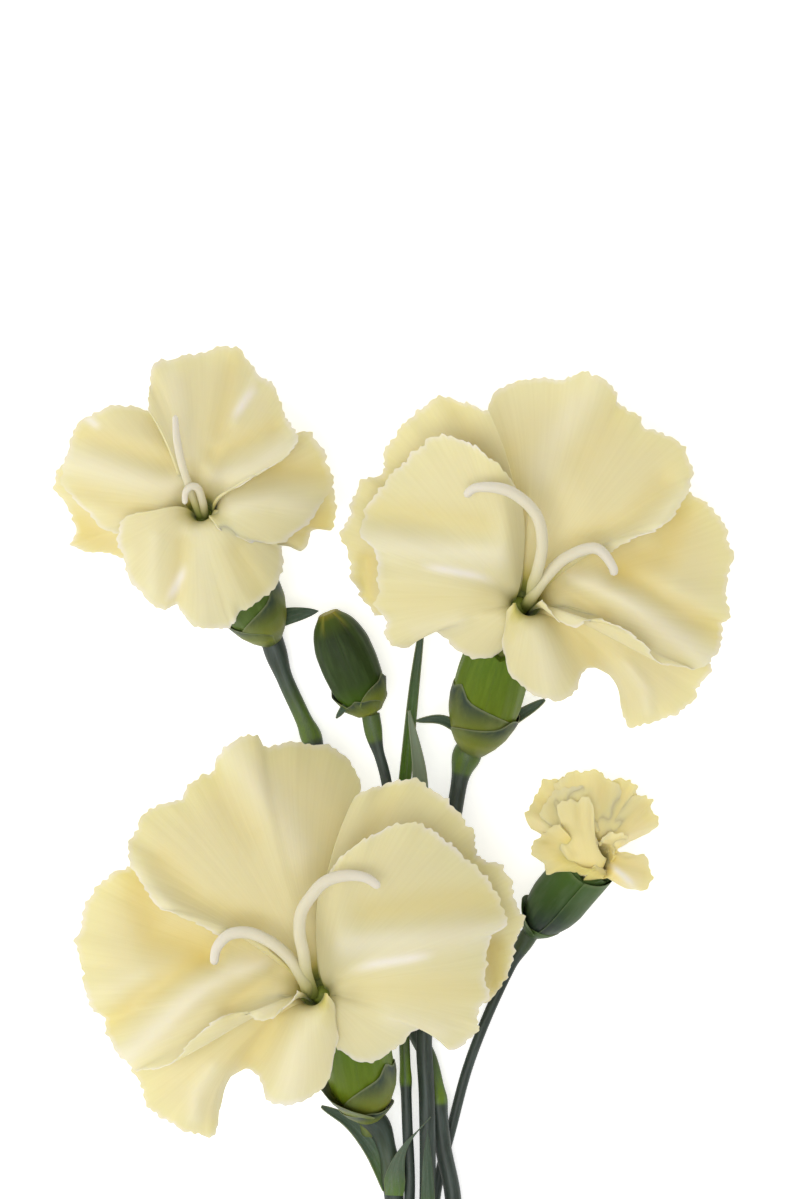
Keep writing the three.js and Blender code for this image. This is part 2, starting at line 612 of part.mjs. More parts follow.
function bud() {
  const outline = BUD.profile.map(([x, y]) => new THREE.Vector2(x, y));
  return solid(stood(new THREE.LatheGeometry(outline, 10), vec(BUD.foot), vec(BUD.tip)));
}

// Everything below the surface is taken off, which leaves small flat spots to rest on, and so is
// any loose scrap.
function trimmed(made) {
  const slab = new THREE.BoxGeometry(400, 600, 40).translate(0, -80, -20 + FLAT_SPOT);
  const bodies = made.subtract(solid(slab)).decompose();
  const largest = bodies.reduce((most, body) => (body.volume() > most.volume() ? body : most));
  return largest.simplify(SLIVER);
}

function leafyStem() {
  const flowers = Object.values(FLOWERS);
  const budCup = { foot: BUD.foot, mouth: BUD.tip, radius: 4.2 };
  const green = joined([
    ...Object.values(STEMS).map(stem),
    ...KNOTS.map(knot),
    ...flowers.map(calyx),
    ...flowers.flatMap((flower) => BRACTS.map((shape) => bract(flower.calyx, shape))),
    ...BRACTS.map((shape) => bract(budCup, { ...shape, reach: 0.6 * shape.reach })),
    ...[...LEAVES, ...LOOSE_TIPS].map(leaf),
    bud(),
  ]);
  return namedMesh("leafy_stem", trimmed(green), GREEN);
}

// ---------------------------------------------------------------- the whole spray

const spray = new THREE.Group();
spray.add(leafyStem());
for (const name of Object.keys(FLOWERS)) spray.add(petals(name));
for (const name of Object.keys(FLOWERS)) {
  if (FLOWERS[name].styles.length) spray.add(styles(name));
}

// The origin is on the surface, under the middle of the spray.
const box = new THREE.Box3().setFromObject(spray, true);
const middle = box.getCenter(new THREE.Vector3());
spray.position.set(-middle.x, -middle.y, -box.min.z);

export default spray;
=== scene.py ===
import math

import bpy
import numpy as np
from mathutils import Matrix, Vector


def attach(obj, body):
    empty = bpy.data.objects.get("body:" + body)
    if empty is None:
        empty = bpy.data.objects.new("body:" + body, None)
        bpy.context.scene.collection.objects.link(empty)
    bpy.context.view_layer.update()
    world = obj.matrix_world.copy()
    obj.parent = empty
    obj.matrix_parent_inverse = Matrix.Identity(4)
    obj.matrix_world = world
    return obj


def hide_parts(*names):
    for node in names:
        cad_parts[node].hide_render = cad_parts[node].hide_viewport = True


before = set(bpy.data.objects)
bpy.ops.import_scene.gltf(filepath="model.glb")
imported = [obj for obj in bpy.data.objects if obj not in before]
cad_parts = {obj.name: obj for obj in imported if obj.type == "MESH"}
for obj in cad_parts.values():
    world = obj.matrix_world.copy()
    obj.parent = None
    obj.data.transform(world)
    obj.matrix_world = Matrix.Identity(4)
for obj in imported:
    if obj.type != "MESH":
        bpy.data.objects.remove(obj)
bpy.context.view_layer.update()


# ---------------------------------------------------------------- driving dimensions
# The shapes are given in millimetres in one drawing: X to the right and Y up the spray as it is
# looked down on, Z up.

MM = 0.001
DRAWN_MIDDLE = np.array([0.114, -87.254, 0.15])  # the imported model's origin in the drawing

PETAL_THICKNESS = 0.34
RIM_THICKNESS = 0.14
PETAL_SPACING = 0.36  # between a petal's rows of points, along its margin
PETAL_STEPS = 40  # points from a petal's foot to its margin
THROAT_RISE = 3  # how far the petals run up along the flower's axis before they spread
ROOT_DEPTH = 1.2  # how far a petal's foot is sunk into the tube of claws
NECK_SPREAD = 0.5  # how far out from its foot the neck pulls it
NECK_RISE = 3.2  # how far past the throat the neck pulls a petal before it bends over
WRAP = 0.9  # one edge of a petal's foot lies this much further in than the other
SWELL_PLACE = 0.62  # where on the way out a petal's ribs are pulled up, 1 being its margin
ARCH_PULL = 1.5  # that pull, in arches: it lifts the rib by two thirds of an arch at most
RELIEF_SETS_IN = [0.05, 0.3]  # ridges and bends set in over this part of the way out
TEETH = 0.34  # how far the margin's teeth stand in and out
SMALL_TEETH, BROAD_TEETH = 1.5, 4.2  # how far apart they are
TEETH_FROM = 0.93  # they set in over the last part of the way out
THIN_FROM = 0.8  # a petal thins out to its margin over the last part of the way out
RIM_WIDTH = 0.9  # of the pale margin
RIM_PATCHES = 11  # how far apart the pale margin's faded places are
# how strong the painted highlights of the petals' pale streaks are
STREAK_HIGHLIGHT_STRENGTH = 0.85
MAP_WIDTH = 40  # length of a petal's margin for each unit of its map

# Waves of a petal along its margin: height, wavelength, the parts of the way out at which they
# begin and are full, and the power that they grow by. The frill's height is the flower's crisp.
PLEATS = [0.13, 13, 0.4, 1, 1]
RUFFLE = [0.34, 6.5, 0.8, 1, 1.5]
FRILL = [1, 3.4, 0.4, 1, 1.5]
CREASES = [0.012, 2.6, 0.3, 0.95, 1]

# Widths along the margin over which a petal's shape is evened out.
FAN_SMOOTHING = 4  # its ribs' directions at the foot
NECK_SMOOTHING = 3  # how far its ribs run on past the throat
SWAY_SMOOTHING = 2  # how far its ribs sway sideways
INNER_SMOOTHING = 4.5  # the inner part of the petal, where the lobe gives no width of its own
BAY_SMOOTHING = 2.6  # bays of the margin narrower than this reach in only a little way
MARGIN_SMOOTHING = 1.8  # the margin's own height

STYLE_RADIUS = 0.92
STYLES_APART = 0.4  # how far right and left of their foot the two of a flower stand
STYLE_FREE_FROM = 4  # how far along it a style starts to lie on the petals
OVARY_RADIUS = 1.6
OVARY_DROPS = [4, 2, 0.6]  # how far below the top of the tube of claws it runs, from its foot up
SOCKET_DEPTH = 5
SOCKET_GAP = 0.4  # between the tube of claws and the socket, and below the tube
CALYX_RIBS = 15
CALYX_TEETH = 0.8
CALYX_WALL = 1  # at its mouth
CALYX_FOOT = 0.07  # how far the calyx reaches below its foot, as a share of its length
CALYX_REACH = 1.9  # how far its rim stands past its mouth, the place where it grips the petals
SEAM_WIDTH = 0.09  # of the bud's seams, as a share of the way from one to the next
BRACT_GAP = 0.32  # from the calyx to a bract's outer face
BRACT_POINT = 0.13  # half width of a bract's point, as a share of its own
LEAF_THICKNESS = 0.3
FLARE_LENGTH = 7  # a stem widens by its flare into the foot of its flower over this length
FRESH_LENGTH = 6  # how far above a joint a stem is bright green

ROUND_SIDES = 20  # of stems and styles
STEM_STEP = 0.5  # between the rings of a stem, and between a leaf's rows of points
STYLE_STEP = 0.3
CLAWS_SIDES, CLAWS_STEP = 32, 0.8
OVARY_SIDES = 24
LEAF_COLUMNS = 11
BRACT_ROWS, BRACT_COLUMNS = 24, 25
CALYX_SIDES, CALYX_RINGS = 80, 60
BUD_SIDES, BUD_RINGS = 60, 48
NEARLY_CLOSED = 0.05  # radius of the hole that a flat face closes
SHARP_ANGLE = math.radians(60)  # faces that meet at more than this keep a sharp edge
UP = np.array([0, 0, 1.0])
ASIDE = [0.2, 0.1, 1]  # no bar starts in this direction

# The camera looks straight down, so that the spray is seen at the photo's scale.
CAMERA_HEIGHT = 3.0  # metres
PIXELS_PER_MM = 6.4  # of the photo, at the height of the flowers
PHOTO_HEIGHT = 1199  # pixels
FOCUS_HEIGHT = 0.014  # metres, where that scale holds
SENSOR = 36
LIGHTS_AIM = (0, 0.05, 0)
FLOOR_DROP = 0.2  # the floor lies this far below zero height
FLOOR_SIZE = 8  # metres

# Lobes of the big flower. Each rib runs from the throat to a point of the margin:
# [x, y, z, arch, sway], millimetres from the middle of the throat. arch is how much the rib curves
# up on its way and sway how far it is pulled to the right. A rib may leave them out.
# foot is the angle round the throat at which the first and last rib start. close is how far in
# from the tube's bore they start, and necks how far past the throat they run on before they bend
# over, from the first to the last. bow pulls the middles of the first and last rib sideways.
# smoothing is the lobe's own INNER_SMOOTHING, and green how far up from its foot it is green,
# where that isn't as in the rest of its flower.
# relief lists ridges and furrows: rise, half width and the [x, y] that they run through. Their rise
# also paints shade into the furrows and highlights onto the ridges. bends lists lines that the petal
# bends down beyond, on their left: slope, softness and their two ends.
# streaks lists pale streaks, painted highlights along crests: half width and the [x, y] that they run
# through.
USUAL_ARCH_AND_SWAY = [1.5, 0]
NO_BOW = [[0, 0], [0, 0]]
BIG_LOBES = {
    "upper": {
        "foot": [160, 72], "smoothing": 8, "green": 4.6, "bow": [[0, 5], [-3, 0]],
        "ribs": [
            [-14.7, 7.5, 4, 2], [-18.1, 9.7, 5, 2.5], [-21.6, 11.1, 5, 3], [-24.7, 12.7, 4, 4],
            [-26.4, 15, 3, 4], [-28.9, 19.1, 1, 5], [-28.8, 22.8, -0.6, 5], [-25.9, 27.5, -2, 5.4],
            [-20.9, 29.2, -2.6, 5], [-19.7, 31.6, -3.2, 5], [-16.3, 33.1, -3.6, 5.2],
            [-15.8, 35.5, -4.4, 5], [-10, 39.1, -5.4, 5], [-7.7, 37.3, -8, 5.5], [-4.1, 37.8, -10, 7],
            [1.6, 37.2, -12, 7], [4.7, 35.5, -13, 6], [6.6, 32.7, -13, 5], [7, 30.3, -13, 4],
        ],
        "relief": [
            [0.9, 3, [-13, 37], [-5.6, 27], [-2.5, 21]], [-0.5, 3, [-17, 33], [-10, 24]],
            [0.9, 1.6, [-28.5, 19], [-22, 11.2], [-15, 8.4]],
            [-0.9, 2.4, [-24, 19.4], [-18, 13], [-9, 9.4]],
        ],
        "bends": [[0.7, 0.8, [-6.4, 36.9], [4.5, 26.9]]],
    },
    "back": {
        "foot": [92, 24], "bow": [[-4, 0], [0, -1]],
        "ribs": [
            [6.3, 29.8, -3, 3], [10.8, 31.4, -4, 3], [14.7, 32.2, -5, 3], [17.8, 30.8, -6, 3],
            [20.5, 28.8, -6, 3], [24.8, 23.3, -8, 2], [25.2, 19.8, -11, 0], [28.8, 18.9, -10, 0],
            [30.2, 16.6, -10, 0], [31.6, 11.6, -11, 0], [32.8, 10, -11, 0], [31.3, 7.2, -12, 0],
            [30.3, 2.2, -12, 0], [26.7, -3, -13, 0],
        ],
        "relief": [[-1.6, 1.8, [27.6, 6], [28, -2]], [-0.6, 2, [8, 22], [12, 30]]],
    },
    "front": {
        "foot": [56, -80], "close": 0.9, "smoothing": 8, "green": 1.7, "bow": [[-1.6, 0], [0, 0]],
        "ribs": [
            [0.6, 15.6, 6, 1], [2.2, 18.1, 7, 1], [4.5, 20.6, 8, 2], [8.4, 23.3, 8, 3],
            [13.1, 25.3, 6, 4], [16.3, 25.3, 5, 5], [19.4, 23.3, 3, 5], [25.6, 17.8, -2, 3.5],
            [28, 14.8, -4, 3], [29.7, 10, -4, 6], [27.2, 7.3, -2, 6.5], [26.4, 1.4, -1, 7],
            [26.9, -1.7, -3, 6], [25, -4.8, -4, 6], [25.3, -7.5, -7, 5, 2], [21.1, -10, -8, 5, 4],
            [18.8, -7.5, -5, 5.5, 2], [17.3, -6.6, -4.4, 5.5], [14.7, -7.7, -4.6, 5],
            [11.9, -10.3, -5.6, 5], [8.4, -12, -6.4, 4.5], [3.3, -10.5, -6, 4],
        ],
        "relief": [
            [-1, 2.6, [8, 11.4], [27, 13.6]], [1.2, 2.8, [5, 6.4], [29, 9]],
            [-0.6, 2.6, [7, -0.4], [26, -0.4]], [0.15, 0.8, [5.3, 2.5], [13, 4.1], [17.8, 5]],
            [0.7, 2, [12, -5], [19, -7]],
        ],
        "bends": [[1.5, 0.6, [1.4, -1], [3.2, 17]]],
        "streaks": [[0.8, [4.6, 2.2], [9, 3.4], [18.6, 5]]],
    },
    "left": {
        "foot": [140, 216], "smoothing": 6, "green": 3,
        "ribs": [
            [-22, 17, -5, 1], [-28.9, 18.6, -5, 1], [-32.2, 17, -5, 2], [-35.8, 13.1, -6, 3],
            [-36.7, 9.2, -6, 4], [-37.3, 6.6, -6, 5], [-35.9, -0.2, -5, 6.5], [-35.3, -3.6, -4, 6],
            [-33.3, -4.8, -5, 5], [-32.3, -8, -4, 4], [-28.9, -12.7, -2, 5.5], [-25.2, -12.8, 2, 5],
            [-21.6, -11.4, 4, 4], [-19.4, -8.4, 6, 3], [-14.2, -4.5, 6.5, 3], [-10.8, -4.2, 6, 2.5],
            [-8.6, -5.4, 5, 2], [-6.4, -4.7, 5, 2], [-4.4, -2.6, 4.6], [-2.9, -0.6, 4.4, 1],
        ],
        "relief": [
            [-1.4, 3.4, [-27, 15], [-24.4, 8], [-16.6, 6]], [0.5, 2, [-35, -2], [-27, 1.7]],
            [-1.2, 2, [-32.2, -6.1], [-27, -2], [-20.8, 2.2], [-17, 4]],
            [1.5, 2.2, [-29, -10.8], [-22.8, -5.2], [-17, 0.2], [-13, 2.7], [-8, 3.4]],
            [-0.9, 1.6, [-13.4, -3.4], [-9.8, -0.4], [-7, 2]], [0.5, 1.4, [-8.6, -4.1], [-4.4, -0.4]],
        ],
    },
    "bottom": {
        "foot": [203, 316], "close": -0.4, "necks": [9, 8, 6.5, 8, 9], "smoothing": 5, "green": 1.8,
        "bow": [[0, 0], [1, 0]],
        "ribs": [
            [-26, -10, -8, 2], [-28.9, -12.7, -8, 2], [-27.5, -15.3, -8.5, 2],
            [-25.9, -19.4, -9.5, 2, -2], [-22.8, -21.6, -10, 2.5, -4], [-18.6, -23.4, -11, 2.5, -7],
            [-16.1, -23.9, -13, 2.5, -9], [-14.7, -17.3, -11, 3, -5], [-13.1, -14.4, -9, 3, -1],
            [-10.9, -13, -8, 3.5], [-9.1, -14.2, -7, 4], [-7.8, -16.9, -6, 4.5], [-6.4, -18.6, -5.5, 5],
            [-2.8, -18.4, -5, 5], [0.3, -16.9, -4.5, 5], [3, -11.1, -3, 5], [3.4, -8, -0.5, 4],
            [2.7, -2.8, 3, 2],
        ],
        "relief": [
            [-1.4, 3.2, [-5, -4], [-10.5, -10.6]],
            [0.8, 1.3, [-19, -20.6], [-18.6, -16.7], [-16.2, -12.6]], [0.8, 3, [-2.6, -4], [-3.9, -16.5]],
        ],
    },
}
SMALL_LOBES = {
    "back_left": {
        "foot": [160, 215],
        "ribs": [
            [-19.5, 9, -15, 0], [-22.8, 3.4, -17, 0], [-20.8, 0.2, -18, 0], [-19.2, -4.5, -20, 1],
            [-20.2, -6.3, -20.5, 1], [-15.6, -7.2, -20, 1], [-11.9, -8.1, -19, 1], [-6, -9, -17, 0],
        ],
        "relief": [[-1.8, 3, [-18, -3], [-13, -6.5]]],
    },
    "top": {
        "foot": [136, 6], "bow": [[1.5, 0], [0, 1]],
        "ribs": [
            [-7.7, 15, -3, 3], [-7.3, 20.9, -8, 4], [-6.6, 22.5, -9, 4], [-1.9, 23.4, -10, 5],
            [3.8, 25, -11, 5], [6.6, 24.4, -10, 5], [9.4, 20.6, -10, 3], [11.3, 19.7, -8, 5],
            [14.1, 13.4, -4, 4], [15.5, 11.4, -1, 3], [14.7, 8.4, 2, 2.5], [12, 6.3, 3, 2],
            [5.9, 3, 3, 1],
        ],
        "relief": [
            [1, 1.6, [3, 4.4], [9, 6], [15, 9.8]], [-0.9, 1.8, [3, 8], [12, 12]],
            [0.7, 0.9, [5.8, 13.4], [9.4, 20.5]], [-0.7, 1.6, [3.5, 12], [5.4, 22]],
            [0.7, 2, [-1, 8], [-4, 20]],
        ],
        "streaks": [[0.7, [5.4, 13.4], [9, 18.6]]],
    },
    "left": {
        "foot": [112, 208], "bow": [[0, 1], [0, 0]],
        "ribs": [
            [-5, 13.5, -7, 3], [-9.8, 15.5, -7, 4], [-15.6, 15, -8, 5], [-19.1, 12.2, -9, 5],
            [-21.1, 5.6, -9, 5], [-21.3, 3.8, -8, 4.5], [-19.2, 0.9, -6, 4], [-16.9, -1.4, -5, 4],
            [-13.4, -4.2, -5, 4], [-10, -4.5, -6, 3],
        ],
        "relief": [
            [1, 2.4, [-19.5, 7.2], [-4, 2.8]], [-0.8, 2, [-18.4, 11.4], [-5, 6.6]],
            [-0.7, 1.8, [-18, 2.6], [-8, -1]],
        ],
        "streaks": [[0.6, [-17.6, 14], [-15.6, 12.4]]],
    },
    "bottom": {
        "foot": [190, 358], "close": 0.9, "necks": [5],
        "ribs": [
            [-9.8, -1.1, 3], [-11.9, -2.6, 2, 3], [-12.2, -6.1, 0, 4], [-10.3, -11.6, -4, 6],
            [-6.9, -15.5, -7, 6], [-5, -16.4, -8, 6], [-3.3, -15.3, -6, 7], [-1.7, -17.8, -9, 6],
            [4.7, -19.4, -11, 6], [6.6, -16.6, -7, 6], [11.6, -13.4, -5, 6], [13.4, -8.8, -5, 4],
            [13.3, -6.4, -4, 2],
        ],
        "relief": [
            [0.5, 2.2, [0.3, -4], [1.6, -17]], [-0.8, 1.5, [-2, -6], [-3.2, -14]],
            [-0.8, 2, [6.4, -7], [9.4, -13]], [0.5, 1.4, [-6.4, -5], [-7, -13]],
        ],
        "streaks": [[0.7, [-1.6, -9], [-4.6, -15]]],
    },
    "right_back": {
        "foot": [10, -30],
        "ribs": [
            [19, 4, -9, 3], [21.1, 2.7, -10, 4], [21.6, -0.9, -11, 4], [20.8, -3.6, -11.5, 4],
            [18, -4.1, -11, 4], [16.5, -6.6, -12, 4], [14, -6.4, -11, 4], [10.8, -5.6, -8, 3],
        ],
        "relief": [[-1.6, 3, [8, -2], [19, -2.4]]],
    },
    "right": {
        "foot": [54, -34],
        "ribs": [
            [13, 10.5, -7, 1], [17.2, 11.6, -6, 2], [20.3, 7.2, -6, 4], [21.1, 4.1, -5.6, 5],
            [20.4, 1.9, -5, 5], [18.6, -0.9, -4, 5], [15.8, -3.8, -3, 4.5], [13, -5.9, -2.4, 4],
            [10.8, -6.1, -1.6, 3], [6.6, -5, 1], [3.4, -3.4, 2.6, 1],
        ],
        "relief": [[-1.2, 2.2, [9, 6.4], [19, 5]], [0.8, 2, [3, 0], [12, 1.2], [18, -0.6]]],
    },
}
HALF_OPEN_LOBES = {
    "upper_left": {
        "foot": [165, 100],
        "ribs": [
            [-7.8, 2.5, -4.6, 1], [-9.9, 4, -5.6], [-10.6, 6.1, -6.1], [-9.7, 7.7, -6.1],
            [-8.9, 9.3, -6.1], [-7.8, 11.1, -6.6], [-5.6, 11.7, -6.1, 1], [-4.1, 11.9, -5.6, 1],
        ],
        "relief": [[-0.7, 1.2, [-5.6, 4.5], [-8.6, 8.5]], [0.5, 1.2, [-5.6, 2.5], [-9.6, 5.1]]],
    },
    "upper_right": {
        "foot": [78, 30],
        "ribs": [
            [2, 10.9, -6, 1], [3, 11.7, -5.8], [5, 11.4, -5.8], [6.9, 10.4, -6.2], [6.6, 9.5, -6.2, 1],
            [7.8, 8.1, -6.6, 1], [7, 5.9, -6.6, 1],
        ],
        "relief": [[-0.5, 0.9, [3, 5.9], [5.6, 10.9]]],
    },
    "top": {
        "foot": [120, 40],
        "ribs": [
            [-6.2, 10.5, -5, 1], [-4, 12.4, -4.6], [-3.6, 12.9, -4.6], [-1.4, 12.8, -4.2],
            [0.5, 13, -4.4], [1, 12.2, -4.4], [2.6, 11.7, -4.6], [4, 10.5, -5, 1], [4.5, 8.5, -5.2, 1],
            [4, 6.1, -5, 1],
        ],
        "relief": [[-0.5, 1.4, [0.8, 4.5], [1.8, 11.1]]],
    },
    "right": {
        "foot": [45, 0],
        "ribs": [
            [5.6, 8.9, -5.6, 1], [8.3, 8.8, -6], [9.4, 8.1, -6.6], [9.2, 7, -6.6], [10.2, 4.6, -7.1],
            [8.7, 3.1, -6.6], [7, 2.5, -5.6, 1], [5.4, 1.8, -4.6, 1],
        ],
        "relief": [[-0.6, 1, [3.4, 3.9], [8.4, 7.5]], [0.5, 1, [3.4, 1.9], [9.4, 4.1]]],
    },
    "inner": {
        "foot": [165, 80],
        "ribs": [
            [-7.6, 3.5, -3.8, 1], [-8.2, 6.3, -4.2, 1], [-6.6, 9.1, -4.2, 1], [-4.4, 10.2, -3.8, 1],
            [-2, 10.4, -3.6, 1], [0.2, 9.5, -3.6, 1], [1.2, 7.1, -3.2, 1], [1.6, 4.1, -2.6, 1],
        ],
        "relief": [[-0.5, 1.1, [-4.6, 1.5], [-6.2, 7.5]]],
    },
    "centre": {
        "foot": [205, 345], "close": -0.3, "necks": [2], "smoothing": 2,
        "ribs": [
            [-5.2, -0.4, -0.8, 1], [-5.5, 2.6, -1, 1], [-5.3, 5.2, -1.2, 1], [-5.5, 7.4, -1.6, 1],
            [-4.1, 8.4, -1.6, 1], [-2.4, 8.3, -1.4, 1], [-1.3, 8.8, -1.4, 1], [-0.2, 7.8, -1.2, 1],
            [0.1, 5.4, -0.8, 1], [0.3, 2.4, -0.4, 1], [1.4, -0.4, -0.4, 1],
        ],
        "relief": [[-0.3, 0.8, [-2.5, 3.9], [-2.3, 8.1]], [-0.4, 0.9, [-4.6, 3.9], [-3.2, 0.5]]],
    },
    "left": {
        "foot": [280, 140], "necks": [3, 3, 2], "green": 2.2,
        "ribs": [
            [-1.2, -3.4, 1], [-2, -3.7, 0.8], [-3.2, -3.3, 0.4], [-4.1, -2.8, -0.2], [-6, -3.1, -1.2],
            [-7.5, -3.3, -2.2], [-7.8, -1.2, -2.4], [-9.7, 0.1, -3], [-9.8, 1.4, -3.2], [-7.8, 3.1, -2.2],
            [-5.4, 4.7, 0.2],
        ],
        "relief": [[-0.8, 1.2, [-3.6, -0.1], [-7.6, 2.1]], [0.4, 1.2, [-3.2, -1.9], [-8.2, -1.5]]],
    },
    "rolled": {
        "foot": [50, -20],
        "ribs": [
            [0.7, 1.5, -0.4, 1], [1.6, 2.5, -0.2, 1], [2.8, 3.1, -0.4, 1], [4.2, 3.2, -0.8, 1],
            [5.4, 2.9, -1.4, 1], [5.2, 2.1, -2.2, 1], [3.6, 1.3, -2.2, 1],
        ],
        "relief": [[-1, 0.8, [1, 0.5], [4.6, 1.7]]],
    },
    "low_right": {
        "foot": [10, -115], "close": -0.4, "necks": [1.5], "smoothing": 2, "green": 1.7,
        "ribs": [
            [2.4, 0.7, -1.6, 1], [4.4, 0.1, -3], [8.3, -0.5, -4.6], [9, -2.5, -5, 2],
            [9.1, -3.9, -5.2, 2], [8.3, -5.8, -5.6, 2], [6.6, -5.7, -5.6, 2], [4.2, -4.9, -4.2],
            [2.9, -3.9, -3, 1], [1.8, -2.4, -1.4, 1], [0.6, -1, -0.4, 1],
        ],
        "relief": [[-0.6, 1, [2.4, -0.6], [8, -3]], [0.5, 0.9, [2.4, -1.5], [6.4, -5]]],
        "streaks": [[0.5, [2.4, -1.5], [6.4, -5]]],
    },
}

# The second big flower mirrors the first, smaller, with each lobe wider by these factors, and
# taller above the throat and below it. low_wide is the factor for what lies below LOW_PART.
MIRROR_SCALE = 0.88
LOW_PART = -8
MIRRORED_LOBES = {
    "upper": {"wide": 1.02, "above": 1.03, "below": 1},
    "back": {"wide": 1, "above": 1.1, "below": 1.1},
    "front": {"wide": 0.98, "above": 1.12, "below": 0.92},
    "left": {"wide": 0.99, "above": 0.99, "below": 0.98, "low_wide": 1.09},
    "bottom": {"wide": 1.15, "above": 1, "below": 0.97},
}


def rib_table(lobe):
    """The lobe's ribs with the arch and sway that some of them leave out."""
    return np.array([rib + USUAL_ARCH_AND_SWAY[len(rib) - 3:] for rib in lobe["ribs"]], float)


def mirrored(lobes):
    """The lobes of a big flower, as its smaller mirror image has them."""
    made = {}
    for name, lobe in lobes.items():
        factors = MIRRORED_LOBES[name]
        widths = [factors.get("low_wide", factors["wide"]), factors["wide"]]

        def place(x, y):
            tall = factors["above"] if y > 0 else factors["below"]
            wide = np.interp(y, [LOW_PART, 0], widths)
            return [-MIRROR_SCALE * wide * x, MIRROR_SCALE * tall * y]

        made[name] = {
            **lobe,
            "foot": [180 - angle for angle in lobe["foot"]],
            "smoothing": MIRROR_SCALE * lobe.get("smoothing", INNER_SMOOTHING),
            "bow": [place(x, y) for x, y in lobe.get("bow", NO_BOW)],
            "ribs": [place(x, y) + [MIRROR_SCALE * z, MIRROR_SCALE * arch, place(sway, 0)[0]]
                     for x, y, z, arch, sway in rib_table(lobe)],
        }
        for kind in ("relief", "bends", "streaks"):
            made[name][kind] = [
                [place(*item) if isinstance(item, list) else MIRROR_SCALE * item for item in row]
                for row in lobe.get(kind, [])
            ]
        for row in made[name]["bends"]:
            row[2:] = row[:1:-1]
    return made
